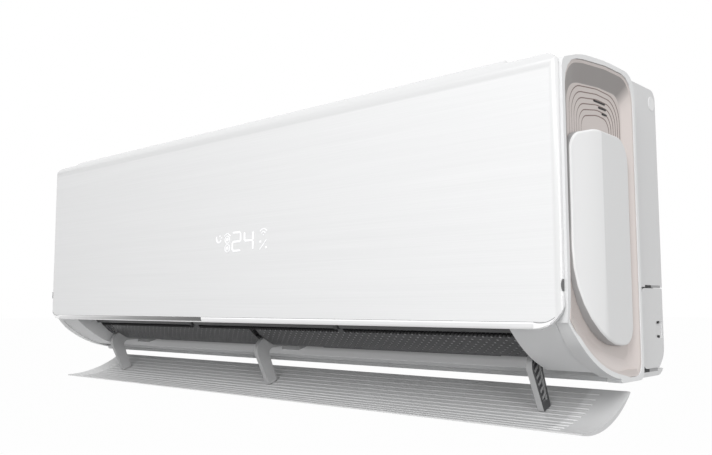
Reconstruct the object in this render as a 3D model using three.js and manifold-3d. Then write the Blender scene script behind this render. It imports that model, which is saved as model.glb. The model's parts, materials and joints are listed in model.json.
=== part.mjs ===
// Wall-hung mini split indoor unit, in millimetres.
// X runs along the unit, Y points into the wall, Z is up. The origin is the middle of the mounting plate's
// rear face, so the room side is at negative Y. The louver is drawn open, as it stands when it blows.

import * as THREE from 'three';
import { ConvexGeometry } from 'three/addons/geometries/ConvexGeometry.js';
import { mergeVertices } from 'three/addons/utils/BufferGeometryUtils.js';
import Module from 'manifold-3d';

const wasm = await Module();
wasm.setup();

// ---------- Driving dimensions ----------

const unitWidth = 1000;          // over the end caps
const endMargin = 2;             // the panel and the louver stop this far from each end
const fit = 0.3;                 // gap between pieces that touch
const wall = 2.5;                // moulded wall
const capRear = 88;              // rear edge of an end cap, from the wall
const capTop = 169;
const capBottom = -167;
const capWidth = 16;             // how far a cap reaches in from the end
const rimWidth = 6;              // white rim around the side dish
const capInner = unitWidth / 2 - capWidth;
const beyond = unitWidth;        // longer than any piece, for cuts that run right through

// The underside of the body is an arc that the closed louver lies on.
const chinY = -119;
const chinZ = 16;
const chinRadius = 181;

const panelFront = 262;
const capSetback = 5.5;
const capFront = panelFront - capSetback;
const panelThickness = 5;
const panelLip = -110;           // bottom edge of the front panel
const panelHalf = unitWidth / 2 - endMargin;
const panelBend = 23;            // radius of the curved top
const panelBendZ = 142.6;        // height where the top starts to curve
const raisedMargin = 70;         // from each end to the raised middle of the panel
const raisedHalf = unitWidth / 2 - raisedMargin;
const shoulderZ = 158;           // top of the panel beside the raised middle
const panelCorner = 18;
const panelEdge = 9;             // rounding of its two upright edges, seen from above
const notchZ = -68;              // finger notches in those edges
const notchRadius = 10;
const notchDepth = 3.2;
const lipHeight = 7;
const lipHalf = capInner;
const hingeY = 24 - panelFront;  // front panel hinge
const hingeZ = 150;
const hingeMargin = 48;
const hingeX = unitWidth / 2 - hingeMargin;
const hingePin = 3;

const chassisMargin = 12;
const chassisHalf = unitWidth / 2 - chassisMargin;
const chassisTop = 170;
const chassisBottom = -167.5;
const plateRecess = 12;          // room for the mounting plate behind the chassis
const endWallInset = 9.5;        // from the chassis side to the inner face of its end wall
const endWallX = chassisHalf - endWallInset;

const cheekWidth = 54;           // from an end cap to the air duct
const ductHalf = capInner - cheekWidth;
const cheekRadius = 179.5;

const fanY = -122;
const fanZ = 4;
const fanRadius = 50;
const fanEndGap = 7;             // between the fan and the side of the duct
const fanHalf = ductHalf - fanEndGap;
const fanBlades = 24;
const shaftRadius = 5;

const louverPivotY = -118;
const louverPivotZ = -137;
const louverOpen = 44;           // degrees from closed to open
const louverGap = 0.4;
const louverEdge = 1.6;          // thickness at the edges
const louverCrown = 3.4;         // extra thickness in the middle
const louverFrom = 45.5;         // degrees below the horizontal, front edge
const louverTo = 80.5;
const louverHalf = unitWidth / 2 - endMargin;
const armWidth = 7;
const armHub = 7.2;
const armPin = 2.8;
const armInset = { left: 23.5, right: 9.5 };
const armPlaces = { left: armInset.left - ductHalf, middle: -19.5, right: ductHalf - armInset.right };

const vaneAxisY = -208;          // perforated inner vane
const vaneAxisZ = -112;
const vaneReach = 52;
const vaneSheet = 2.4;
const vaneHub = 4;
const vaneTilt = -36.4;          // degrees, rest position of the blade
const hangerPlaces = { left: -150, right: 156 };

const swingPitch = 68;           // swing vanes
const swingCount = 5;
const swingY = -118;
const swingLinkY = -140;
const swingInset = { left: 80, right: 100 };
const swingPlaces = {
  left: swingInset.left - ductHalf,
  right: ductHalf - swingInset.right - swingPitch * (swingCount - 1),
};

const deckFront = -216;          // top opening of the front frame
const deckRear = -95;
const deckMargin = 6;
const deckHalf = ductHalf - deckMargin;
const grilleTop = 157;

// ---------- Solids ----------

function toSolid(geometry) {
  const bare = geometry.clone();
  bare.deleteAttribute('normal');
  bare.deleteAttribute('uv');
  const merged = mergeVertices(bare, 1e-4);
  return new wasm.Manifold(new wasm.Mesh({
    numProp: 3,
    vertProperties: new Float32Array(merged.attributes.position.array),
    triVerts: new Uint32Array(merged.index.array),
  }));
}

function toGeometry(solid) {
  const { vertProperties, triVerts } = solid.getMesh();
  const geometry = new THREE.BufferGeometry();
  geometry.setAttribute('position', new THREE.BufferAttribute(vertProperties, 3));
  geometry.setIndex(new THREE.BufferAttribute(triVerts, 1));
  geometry.computeVertexNormals();
  return geometry;
}

const axisX = new THREE.Vector3(1, 0, 0);
const axisY = new THREE.Vector3(0, 1, 0);
const axisZ = new THREE.Vector3(0, 0, 1);
const profileAlongX = new THREE.Matrix4().makeBasis(axisY, axisZ, axisX);
const profileAlongY = new THREE.Matrix4().makeBasis(axisX, axisZ, axisY.clone().negate());

function extruded(points, depth) {
  return new THREE.ExtrudeGeometry(new THREE.Shape(points), { depth, bevelEnabled: false });
}

// A profile of [y, z] points swept along X.
function alongX(points, from, to) {
  return toSolid(extruded(points, to - from).applyMatrix4(profileAlongX).translate(from, 0, 0));
}

// A profile of [x, z] points swept from the rear towards the front.
function alongY(points, rear, front) {
  return toSolid(extruded(points, rear - front).applyMatrix4(profileAlongY).translate(0, rear, 0));
}

// A profile of [x, y] points swept upwards.
function alongZ(points, from, to) {
  return toSolid(extruded(points, to - from).translate(0, 0, from));
}

function box(x0, x1, y0, y1, z0, z1) {
  const geometry = new THREE.BoxGeometry(x1 - x0, y1 - y0, z1 - z0);
  return toSolid(geometry.translate((x0 + x1) / 2, (y0 + y1) / 2, (z0 + z1) / 2));
}

function rodX(y, z, radius, from, to, sides = 16) {
  const geometry = new THREE.CylinderGeometry(radius, radius, to - from, sides);
  return toSolid(geometry.rotateZ(Math.PI / 2).translate((from + to) / 2, y, z));
}

function rodY(x, z, radius, from, to, sides = 12) {
  const geometry = new THREE.CylinderGeometry(radius, radius, to - from, sides);
  return toSolid(geometry.translate(x, (from + to) / 2, z));
}

function rodZ(x, y, radius, from, to, sides = 12) {
  const geometry = new THREE.CylinderGeometry(radius, radius, to - from, sides);
  return toSolid(geometry.rotateX(Math.PI / 2).translate(x, y, (from + to) / 2));
}

function joined(solids) {
  return solids.reduce((sum, solid) => sum.add(solid));
}

function point(y, z) {
  return new THREE.Vector2(y, z);
}

function arc(y, z, radius, fromDegrees, toDegrees, steps) {
  const points = [];
  for (let i = 0; i <= steps; i += 1) {
    const angle = THREE.MathUtils.degToRad(fromDegrees + ((toDegrees - fromDegrees) * i) / steps);
    points.push(point(y + radius * Math.cos(angle), z + radius * Math.sin(angle)));
  }
  return points;
}

// A closed outline with rounded corners, from [u, v, radius] corners.
function filleted(corners, steps = 5) {
  const points = [];
  corners.forEach(([u, v, radius = 0], i) => {
    const corner = point(u, v);
    const before = corners[(i + corners.length - 1) % corners.length];
    const after = corners[(i + 1) % corners.length];
    const back = point(before[0], before[1]).sub(corner).normalize();
    const ahead = point(after[0], after[1]).sub(corner).normalize();
    if (radius === 0) {
      points.push(corner);
      return;
    }
    const half = Math.acos(THREE.MathUtils.clamp(back.dot(ahead), -1, 1)) / 2;
    const reach = radius / Math.tan(half);
    const start = corner.clone().addScaledVector(back, reach);
    const end = corner.clone().addScaledVector(ahead, reach);
    const middle = back.clone().add(ahead).normalize();
    const centre = corner.clone().addScaledVector(middle, radius / Math.sin(half));
    const first = start.clone().sub(centre).angle();
    let turn = end.clone().sub(centre).angle() - first;
    if (turn > Math.PI) turn -= 2 * Math.PI;
    if (turn < -Math.PI) turn += 2 * Math.PI;
    for (let k = 0; k <= steps; k += 1) {
      const angle = first + (turn * k) / steps;
      points.push(point(centre.x + radius * Math.cos(angle), centre.y + radius * Math.sin(angle)));
    }
  });
  return points;
}

const lipFrontY = -157;
const lipTopZ = -155.5;

// Upper surface of the lower lip, from its front edge back to the air guide.
const lipFloor = [
  point(lipFrontY, lipTopZ), point(-140, -152.5), point(-126, -148.6), point(-111.2, -142.4),
  point(-100, -135.8),
];

const parts = new THREE.Group();

function finish(colour, roughness, metalness = 0) {
  return new THREE.MeshStandardMaterial({ color: colour, roughness, metalness });
}

const white = finish(0xf1f2f3, 0.3);
const paleGrey = finish(0xd9dadb, 0.45);
const champagne = finish(0xd8cbc6, 0.4, 0.2);
const outletGrey = finish(0xa9abad, 0.45);
const louverGrey = finish(0xbfc0c1, 0.45);
const darkGrey = finish(0x4d4e50, 0.6);
const polished = finish(0xffffff, 0.12);
const galvanised = finish(0xa8acae, 0.4, 0.9);
const aluminium = finish(0xc5c9cc, 0.4, 0.9);
const motorSteel = finish(0x8b9094, 0.35, 0.9);
const meshGrey = finish(0x6f7478, 0.7);
const boardGreen = finish(0x2c5d3c, 0.5);

function place(group, name, solid, material) {
  const mesh = new THREE.Mesh(toGeometry(solid), material);
  mesh.name = name;
  group.add(mesh);
  return mesh;
}

const sides = { left: -1, right: 1 };

// A piece that is drawn for the right end, turned over for the left.
function handed(side, solid) {
  return side === 'right' ? solid : solid.mirror([1, 0, 0]);
}

// ---------- Shared outlines ----------

// Side outline of the body, drawn in from the cap's outer edge by an inset.
function bodyOutline(inset) {
  return filleted([
    [-capFront + inset, capTop - 17.5 - inset, 12],
    [-215, capTop - 4.5 - inset, 150],
    [-160, capTop - inset, 150],
    [-capRear - inset, capTop - inset, 24 - inset],
    [-capRear - inset, capBottom + inset, 10],
    [-capFront + inset, capBottom + inset],
  ]);
}

// Everything below the chin arc of a given radius.
function belowChin(radius, half, fromDegrees = 30, toDegrees = 81.5) {
  const outer = radius + 90;
  const band = [
    ...arc(chinY, chinZ, radius, 180 + fromDegrees, 180 + toDegrees, 24),
    ...arc(chinY, chinZ, outer, 180 + toDegrees, 180 + fromDegrees, 8),
  ];
  return alongX(band, -half, half);
}

// What the louver's rear edge sweeps through, under the body.
function edgeSweep(half, margin = 2 * louverGap) {
  const rear = THREE.MathUtils.degToRad(louverTo);
  const across = chinY - (chinRadius + louverGap) * Math.cos(rear) - louverPivotY;
  const down = chinZ - (chinRadius + louverGap) * Math.sin(rear) - louverPivotZ;
  const reach = Math.hypot(across, down) - margin;
  const edgeY = louverPivotY + across;
  return box(-half, half, edgeY - margin, louverPivotY, -200, -155)
    .subtract(rodX(louverPivotY, louverPivotZ, reach, -half - 1, half + 1, 60));
}

// ---------- End caps, dishes and pads ----------

const dishChin = chinRadius - 5.5;
const dishChinEnd = 259;         // degrees, where its chin arc meets the foot

// The dish's outline, grown inwards; its lower front follows the chin.
function dishOutline(inset) {
  const front = -capFront + rimWidth + inset;
  const rear = -capRear - rimWidth - inset;
  const top = capTop - rimWidth + 0.5 - inset;
  const foot = capBottom + 5 + inset;
  const radius = dishChin - inset;
  const from = 180 + THREE.MathUtils.radToDeg(Math.acos((chinY - front) / radius));
  const chin = arc(chinY, chinZ, radius, dishChinEnd, from, 12);
  const end = THREE.MathUtils.degToRad(dishChinEnd);
  const slide = (foot - chin[0].y) / Math.cos(end);
  return filleted([
    [front, capTop - 17 - inset, 30 - inset / 2],
    [-210, capTop - 10 - inset, 60],
    [-160, top, 60],
    [rear, top, 28 - inset / 2],
    [rear, foot, 14],
    [chin[0].x - slide * Math.sin(end), foot],
    ...chin.map(({ x, y }) => [x, y]),
  ], 4);
}

const ledge = 3;
const ledgeWidth = 12;

function endCap() {
  const outer = unitWidth / 2;
  const opening = alongX(dishOutline(-fit), capInner + ledge, outer + 1);
  const hole = alongX(dishOutline(ledgeWidth), capInner - 1, outer);
  return alongX(bodyOutline(0), capInner, outer)
    .subtract(belowChin(chinRadius, outer + 2, 41))
    .subtract(edgeSweep(outer + 2))
    .subtract(opening)
    .subtract(hole);
}

const dishDepth = 8.7;
const dishFace = unitWidth / 2 - dishDepth;
const dishBevel = 18;
const ringPitch = 5.3;
const ringCount = 6;
const ringGroove = 1.4;
const ringDepth = 1.8;
const ringOpenings = [[-175, -147, 126], [-166, -146, 120.4], [-158, -145, 114.8]];

// The bowl of the dish: its outline widens from the floor to the rim.
function bevelCutter(floorX, topX) {
  const level = (inset, x) => dishOutline(inset).map(({ x: y, y: z }) => new THREE.Vector3(x, y, z));
  return toSolid(new ConvexGeometry([
    ...level(dishBevel, floorX), ...level(1, topX), ...level(1, topX + 12),
  ]));
}

function ringOutline(inset) {
  return filleted([
    [-232 + inset, 137 - inset, 27 - inset / 2],
    [-111 - inset, 138 - inset, 27 - inset / 2],
    [-111 - inset, 60],
    [-232 + inset, 60],
  ], 3);
}

function sideDish() {
  const outer = unitWidth / 2;
  let dish = alongX(dishOutline(0), capInner + ledge + fit, outer - 1);
  const bowl = bevelCutter(dishFace, outer - 1);
  dish = dish.subtract(bowl).subtract(alongX(padOutline(fit), dishFace, outer + 1));
  for (let ring = 0; ring < ringCount; ring += 1) {
    const inset = ring * ringPitch;
    const groove = alongX(ringOutline(inset), dishFace - ringDepth, dishFace + 1)
      .subtract(alongX(ringOutline(inset + ringGroove), dishFace - ringDepth - 1, dishFace + 2))
      .subtract(box(capInner, beyond, -240, -100, 50, 61.5));
    dish = dish.subtract(groove);
  }
  for (const [from, to, z] of ringOpenings) {
    dish = dish.subtract(box(capInner, beyond, from, to, z - 1.5, z + 1.5));
  }
  return dish;
}

function padOutline(grow) {
  return filleted([
    [-238 - grow, 94 + grow, 32],
    [-107.5 + grow, 90 + grow, 30],
    [-107.5 + grow, -129 - grow, 22],
    [-238 - grow, -129 - grow, 97],
  ], 6);
}

const padRise = 3;               // how far a pad stands past the end cap
const padCrown = 430;            // radius of its bulge from front to rear
const padTop = unitWidth / 2 + padRise;

function sidePad() {
  const shape = new THREE.Shape(padOutline(0));
  const edge = 6;
  const depth = 9;
  const geometry = new THREE.ExtrudeGeometry(shape, {
    depth,
    bevelEnabled: true,
    bevelThickness: edge,
    bevelSize: edge,
    bevelOffset: -edge,
    bevelSegments: 3,
  });
  const blank = toSolid(geometry.applyMatrix4(profileAlongX).translate(padTop - edge - depth, 0, 0));
  const crown = alongZ([
    ...arc(padTop - padCrown, -172, padCrown, -10, 10, 14),
    point(dishFace + fit, -95),
    point(dishFace + fit, -250),
  ], -140, 110);
  return blank.intersect(crown).intersect(box(dishFace + fit, beyond, -260, -90, -140, 100));
}

for (const side of Object.keys(sides)) {
  place(parts, `end_cap_${side}`, handed(side, endCap()), white);
  place(parts, `side_dish_${side}`, handed(side, sideDish()), champagne);
  place(parts, `side_pad_${side}`, handed(side, sidePad()), white);
}

// ---------- Front panel ----------

function panelProfile() {
  const back = -panelFront + panelThickness;
  return [
    point(back, panelLip),
    point(back, panelBendZ),
    ...arc(-panelFront + panelBend, panelBendZ, panelBend - panelThickness, 180, 95, 8).slice(1),
    ...arc(-panelFront + panelBend, panelBendZ, panelBend, 95, 180, 10),
    point(-panelFront, panelLip + 3),
    point(-panelFront + 2, panelLip),
  ];
}

function frontPanel() {
  const outline = filleted([
    [-panelHalf, panelLip, panelCorner],
    [panelHalf, panelLip, panelCorner],
    [panelHalf, 200],
    [-panelHalf, 200],
  ], 6);
  const plan = filleted([
    [-panelHalf, -panelFront, panelEdge],
    [panelHalf, -panelFront, panelEdge],
    [panelHalf, -200],
    [-panelHalf, -200],
  ], 5);
  const step = 7;
  const shoulder = alongY([
    point(raisedHalf, 200),
    point(raisedHalf, shoulderZ + step),
    point(raisedHalf + step, shoulderZ),
    point(panelHalf + 5, shoulderZ),
    point(panelHalf + 5, 200),
  ], -200, -300);
  let panel = alongX(panelProfile(), -panelHalf, panelHalf)
    .intersect(alongY(outline, -200, -300))
    .intersect(alongZ(plan, panelLip - 5, 200))
    .subtract(shoulder)
    .subtract(shoulder.mirror([1, 0, 0]));
  const notchX = panelHalf + notchRadius - notchDepth;
  for (const sign of [-1, 1]) {
    panel = panel.subtract(rodY(sign * notchX, notchZ, notchRadius, -300, -200, 32));
  }
  const stripTop = panelLip + lipHeight + fit;
  panel = panel.subtract(box(-lipHalf - fit, lipHalf + fit, -panelFront - 8, 12 - panelFront, panelLip - 1, stripTop));
  const back = -panelFront + panelThickness;
  const ribDepth = 3.5;
  const ribs = [-96, -20, 60, 128].map((z) => box(-raisedHalf, raisedHalf, back - 1, back + ribDepth, z, z + 2));
  panel = joined([panel, ...ribs]);
  for (const sign of [-1, 1]) {
    const lug = alongX(filleted([
      [back - 1, 128], [back - 1, 148], [hingeY - 2, hingeZ + 6, 5], [hingeY + 6, hingeZ - 4, 5],
    ]), sign * hingeX - 3, sign * hingeX + 3);
    const pin = rodX(hingeY, hingeZ, hingePin, sign * hingeX - 9, sign * hingeX + 9, 16);
    panel = joined([panel, lug, pin]);
  }
  return panel;
}

function panelLipStrip() {
  const back = -panelFront + panelThickness;
  return alongX([
    point(back, panelLip),
    point(back, panelLip + lipHeight),
    point(-panelFront, panelLip + lipHeight),
    point(-panelFront - 0.6, panelLip + lipHeight - 1.5),
    point(-panelFront + 0.4, panelLip + 2.5),
    point(-panelFront + 2.5, panelLip),
  ], -lipHalf, lipHalf);
}

const displayX = 34;

place(parts, 'front_panel', frontPanel(), white);
place(parts, 'panel_lip_strip', panelLipStrip(), polished);

const boardBack = -panelFront + panelThickness;
place(parts, 'display_board', box(displayX - 78, displayX + 78, boardBack + fit, boardBack + 6, -17, 24)
  .subtract(box(displayX - 72, displayX + 72, boardBack + 1.5, boardBack + 7, -13, 20)), boardGreen);

// ---------- Front frame and top opening ----------

const frameHalf = capInner - fit;
const frameInset = 1;
const frameFront = capFront - 5.5;
const buttonX = hingeX + 10;
const buttonZ = -40;
const buttonRadius = 4;

function frameOutline(inset) {
  return filleted([
    [-frameFront + inset, capTop - 18.5 - inset, 8],
    [-215, capTop - 5.5 - inset, 120],
    [-160, capTop - frameInset - inset, 120],
    [-capRear + 10, capTop - frameInset - inset],
    [-capRear + 10, -60],
    [-frameFront + inset, -118],
  ]);
}

function frontFrame() {
  const shell = alongX(frameOutline(0), -frameHalf, frameHalf)
    .subtract(alongX(frameOutline(3), -frameHalf - 1, frameHalf + 1))
    .subtract(box(-beyond, beyond, -capRear - fit, 0, -200, 200))
    .subtract(box(-beyond, beyond, -246, 0, -200, 100))
    .subtract(box(-beyond, beyond, -300, 0, -200, -100));
  const windowHalf = ductHalf + 6;
  const front = box(-windowHalf, windowHalf, -300, -200, -78, 126);
  const topOpening = box(-deckHalf, deckHalf, deckFront, deckRear, 120, 200);
  const arcRoom = box(-raisedHalf - 6, raisedHalf + 6, -260, -222, 139, 200);
  let frame = shell.subtract(front).subtract(topOpening).subtract(arcRoom);
  for (const sign of [-1, 1]) {
    const pocket = box(sign * hingeX - 10, sign * hingeX + 10, -260, -229, 124, 160);
    frame = frame.subtract(pocket);
    for (const across of [-1, 1]) {
      const from = sign * hingeX + across * 7.5 - 2;
      const lug = box(from, from + 4, -246, -230, 142, 154.5);
      const wing = box(from - (across < 0 ? 3 : 0), from + (across > 0 ? 7 : 4), -246, -228, 140, 158);
      frame = frame.add(wing.add(lug).subtract(rodX(hingeY, hingeZ, hingePin + fit, -beyond, beyond, 12)));
    }
  }
  const bottomBar = box(-frameHalf, frameHalf, -frameFront, -247.5, -100, -78);
  const buttonHole = rodY(buttonX, buttonZ, buttonRadius + fit, -300, -200);
  return frame.add(bottomBar).subtract(buttonHole);
}

function manualButton() {
  return rodY(buttonX, buttonZ, buttonRadius, -253.2, -243)
    .add(rodY(buttonX, buttonZ, buttonRadius + 2, -246.8, -244.6));
}

function topGrille() {
  const bottom = grilleTop - 4.8;
  const half = deckHalf + 5;
  const outer = box(-half, half, deckFront - 3, deckRear + 3, bottom, grilleTop)
    .add(box(-half, half, deckRear + 0.5, deckRear + 3, bottom, 164));
  const slots = [];
  const columns = 9;
  const rows = 4;
  const pitchX = (2 * half - 6) / columns;
  const pitchY = (deckRear - deckFront) / rows;
  for (let column = 0; column < columns; column += 1) {
    for (let row = 0; row < rows; row += 1) {
      const x = 3 - half + pitchX * column;
      const y = deckFront + pitchY * row;
      slots.push(box(x + 2, x + pitchX - 2, y + 1.5, y + pitchY - 1.5, bottom - 1, grilleTop + 1));
    }
  }
  return outer.subtract(joined(slots));
}

function filterCassette() {
  const clear = 0.8;
  const bottom = grilleTop + fit;
  const top = 166.2;
  const x0 = clear;
  const x1 = deckHalf - clear;
  const y0 = deckFront + clear;
  const y1 = deckRear - clear;
  let cassette = box(x0, x1, y0, y1, bottom, top);
  const cells = 5;
  const pitchX = (x1 - x0 - 8) / cells;
  for (let cell = 0; cell < cells; cell += 1) {
    const x = x0 + 4 + pitchX * cell;
    cassette = cassette.subtract(box(x + 2, x + pitchX - 2, y0 + 6, y1 - 6, bottom + 1.4, top + 1));
  }
  return cassette;
}

place(parts, 'front_frame', frontFrame(), paleGrey);
place(parts, 'manual_button', manualButton(), darkGrey);
place(parts, 'top_grille', topGrille(), paleGrey);
for (const side of Object.keys(sides)) {
  place(parts, `filter_cassette_${side}`, handed(side, filterCassette()), meshGrey);
}

// ---------- Rear chassis ----------

function chassisOutline(inset) {
  return filleted([
    [-capRear + fit, chassisTop - inset],
    [-0.5 - inset, chassisTop - inset, 12 - inset],
    [-0.5 - inset, chassisBottom + inset, 22 - inset],
    [-capRear + fit, chassisBottom + inset],
  ], 6);
}

// Centre line of the air guide behind the fan, as a band of even thickness.
function guideBand(thickness) {
  const line = new THREE.SplineCurve([
    point(-66, 66), point(-58, 30), point(-60, -25), point(-69, -80), point(-84, -115), point(-97, -133),
  ]);
  const steps = 14;
  const outer = [];
  const inner = [];
  for (let i = 0; i <= steps; i += 1) {
    const at = line.getPoint(i / steps);
    const normal = line.getTangent(i / steps);
    outer.push(point(at.x - (normal.y * thickness) / 2, at.y + (normal.x * thickness) / 2));
    inner.push(point(at.x + (normal.y * thickness) / 2, at.y - (normal.x * thickness) / 2));
  }
  return [...outer, ...inner.reverse()];
}

const pipeCoverFront = -61;
const pipeCoverTop = -66.5;
const pipeCoverBottom = -160;

function hookPlaces() {
  return [-260, 0, 260];
}

function rearChassis() {
  const outline = chassisOutline(0);
  const hollow = chassisHalf - wall;
  const shell = alongX(outline, -chassisHalf, chassisHalf)
    .subtract(alongX(chassisOutline(wall), -hollow, hollow))
    .subtract(box(-hollow, hollow, -100, -capRear + 1, chassisBottom + wall, chassisTop - wall))
    .subtract(box(-hollow, hollow, -5, 5, -142, 155));
  const back = box(-chassisHalf + 1, chassisHalf - 1, -plateRecess - wall, -plateRecess, -160, 160);
  const backTop = box(-chassisHalf + 1, chassisHalf - 1, -plateRecess - wall, -plateRecess, 158, chassisTop - 1);
  const backFoot = box(-chassisHalf + 1, chassisHalf - 1, -plateRecess - wall, -plateRecess, chassisBottom + 1, -158);
  const ductOuter = ductHalf + wall;
  const guide = alongX(guideBand(wall), -ductOuter, ductOuter);
  const guideTie = box(-ductOuter, ductOuter, -66, -plateRecess - 1, 63, 65.5);
  const trough = alongX([
    point(-66.5, 61.5), point(-86.5, 49.5), point(-90.5, 54), point(-88.6, 55.8), point(-86, 52.8),
    point(-67.5, 64.2),
  ], -ductOuter, ductOuter);
  const footTie = box(-ductOuter, ductOuter, -91.9, -89.4, chassisBottom + 1, -125.5);
  const pieces = [shell, back, backTop, backFoot, guide, guideTie, trough, footTie];
  const ductSide = alongX([
    point(-170.5, -40), point(-194.5, -34), point(-194.5, 71), point(-150.2, 118.3), point(-83, 57.8),
    point(-66, 64), point(-58, 30), point(-60, -25), point(-69, -80), point(-84, -115), point(-97, -133),
    ...lipFloor.map(({ x, y }) => point(x, y + fit)).reverse().slice(0, 3), point(-169, -122),
  ], ductHalf, ductOuter);
  pieces.push(ductSide, ductSide.mirror([1, 0, 0]));
  const guideRibs = 4;
  for (let rib = 0; rib < guideRibs; rib += 1) {
    const x = ductHalf * ((2 * rib + 1) / guideRibs - 1);
    pieces.push(box(x - 1.5, x + 1.5, -62, -plateRecess - 1, -60, 64));
  }
  for (const sign of [-1, 1]) {
    const near = sign * endWallX;
    const far = sign * (endWallX + wall);
    const x0 = Math.min(near, far);
    const x1 = Math.max(near, far);
    const endWall = alongX(bodyOutline(9.5), x0, x1)
      .subtract(belowChin(cheekRadius - 9, beyond))
      .subtract(box(-beyond, beyond, -200, -capRear - 4.2, -200, -135.3));
    pieces.push(endWall);
    pieces.push(box(x0, x1, -capRear - 1, -plateRecess - 1, chassisBottom + 1, 160));
    pieces.push(box(x0, x1, -capRear - 11, -plateRecess - 1, -135, 158));
    const closer = sign * (chassisHalf - 1);
    pieces.push(box(Math.min(near, closer), Math.max(near, closer), -capRear + 1, -capRear + 1 + wall,
      chassisBottom + 1, chassisTop - 1));
  }
  const top = belowChin(chinRadius - 4, beyond).intersect(box(-beyond, beyond, -300, -capRear, -300, 0));
  let chassis = joined(pieces).subtract(top);
  for (const sign of [-1, 1]) {
    const x = sign * chassisHalf;
    chassis = chassis.subtract(box(x - 6, x + 6, pipeCoverFront, 5, pipeCoverBottom, pipeCoverTop));
    const inner = ductHalf - 2;
    const shaftHole = sign > 0 ? rodX(fanY, fanZ, 14, inner, beyond) : rodX(fanY, fanZ, 12, -beyond, -inner);
    chassis = chassis.subtract(shaftHole);
  }
  chassis = chassis.subtract(rodX(louverPivotY, louverPivotZ, armPin + fit, ductHalf - 2, ductOuter + 2));
  for (const x of hookPlaces()) {
    chassis = chassis.subtract(box(x - 22, x + 22, -plateRecess - wall - 1, -plateRecess + 1, 82, 100));
  }
  return chassis;
}

function pipeCover() {
  const gap = 1.2;
  const skin = alongX(filleted([
    [pipeCoverFront + gap, pipeCoverTop - gap, 8],
    [-1, pipeCoverTop - gap],
    [-1, -145, 18],
    [-16, pipeCoverBottom + gap],
    [pipeCoverFront + gap, pipeCoverBottom + gap, 8],
  ]), chassisHalf - wall, chassisHalf);
  const tongue = box(chassisHalf - wall - 3, chassisHalf - wall + 0.5, -50, -20, -150, -80);
  const flange = box(chassisHalf - wall - 3, chassisHalf - wall - fit, pipeCoverFront - 4, -30, -140, -90);
  const notch = box(chassisHalf - 1.2, chassisHalf + 1, -22, -5, -124.5, -106);
  return skin.add(tongue).add(flange).subtract(notch);
}

place(parts, 'rear_chassis', rearChassis(), paleGrey);
for (const side of Object.keys(sides)) {
  place(parts, `pipe_cover_${side}`, handed(side, pipeCover()), paleGrey);
}

// ---------- Mounting plate ----------

function mountingPlate() {
  const sheet = 1.6;
  const outline = filleted([[-400, -125, 12], [400, -125, 12], [400, 125, 12], [-400, 125, 12]], 3);
  let plate = alongY(outline, 0, -sheet);
  const flange = 6;
  plate = plate.add(box(-380, 380, -flange, -sheet + 0.2, -125, -125 + sheet));
  for (const x of hookPlaces()) {
    plate = plate.add(box(x - 20, x + 20, -19, -sheet + 0.2, 98, 98 + sheet));
    plate = plate.add(box(x - 20, x + 20, -19, -17.4, 98, 112));
  }
  for (const x of [-340, -180, 180, 340]) {
    for (const z of [-85, 0, 70]) {
      plate = plate.subtract(rodY(x, z, 3, -10, 5, 8));
    }
  }
  for (const x of [-135, 135]) {
    const window = filleted([[x - 30, -50, 10], [x + 30, -50, 10], [x + 30, 40, 10], [x - 30, 40, 10]], 3);
    plate = plate.subtract(alongY(window, 5, -10));
  }
  return plate;
}

place(parts, 'mounting_plate', mountingPlate(), galvanised);

// ---------- Chin: cheeks and lower lip ----------

function outletLip() {
  const half = frameHalf;
  const bottom = capBottom + 0.5;
  const outer = [...lipFloor, point(-capRear - 4.5, -139), point(-capRear - 4.5, bottom),
    point(lipFrontY + 3, bottom), point(lipFrontY, bottom + 2)];
  const floorUnder = lipFloor.map(({ x, y }) => point(x, y - wall));
  const inner = [point(lipFrontY + wall, lipTopZ - wall), ...floorUnder.slice(1),
    point(-capRear + 5, -144), point(-capRear + 5, bottom + wall), point(lipFrontY + wall, bottom + wall)];
  const seat = chinRadius - 2 * louverGap;
  const hollow = alongX(inner, -half - 1, half + 1)
    .subtract(belowChin(seat - wall, beyond, 60, 82))
    .subtract(edgeSweep(beyond, wall + 2 * louverGap));
  let lip = alongX(outer, -half, half)
    .subtract(hollow)
    .subtract(belowChin(seat, half + 1, 60, 80.6))
    .subtract(edgeSweep(half + 1));
  for (const x of Object.values(swingPlaces)) {
    lip = lip.subtract(rodZ(x, swingY, 2.4, -155, -130, 12));
  }
  return lip;
}

function outletCheek() {
  const shell = alongX([
    ...arc(chinY, chinZ, cheekRadius, 222, 252.6, 16),
    ...arc(chinY, chinZ, cheekRadius - wall, 252.6, 222, 16),
  ], ductHalf, capInner - fit);
  const wallSide = alongX([
    ...arc(chinY, chinZ, cheekRadius - 0.5, 222, 252.6, 16),
    point(-170, -120), point(-176, -55.2), point(-238, -97.2),
  ], ductHalf, ductHalf + wall);
  return shell.add(wallSide)
    .subtract(rodX(vaneAxisY, vaneAxisZ, 3 + fit, ductHalf - 2, ductHalf + 5, 16));
}

place(parts, 'outlet_lip', outletLip(), outletGrey);
for (const side of Object.keys(sides)) {
  place(parts, `outlet_cheek_${side}`, handed(side, outletCheek()), outletGrey);
}

// ---------- Louver: plate and three arms on one hinge line ----------

const louver = new THREE.Group();
louver.position.set(0, louverPivotY, louverPivotZ);
parts.add(louver);

const chinFromPivot = point(chinY - louverPivotY, chinZ - louverPivotZ);

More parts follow.
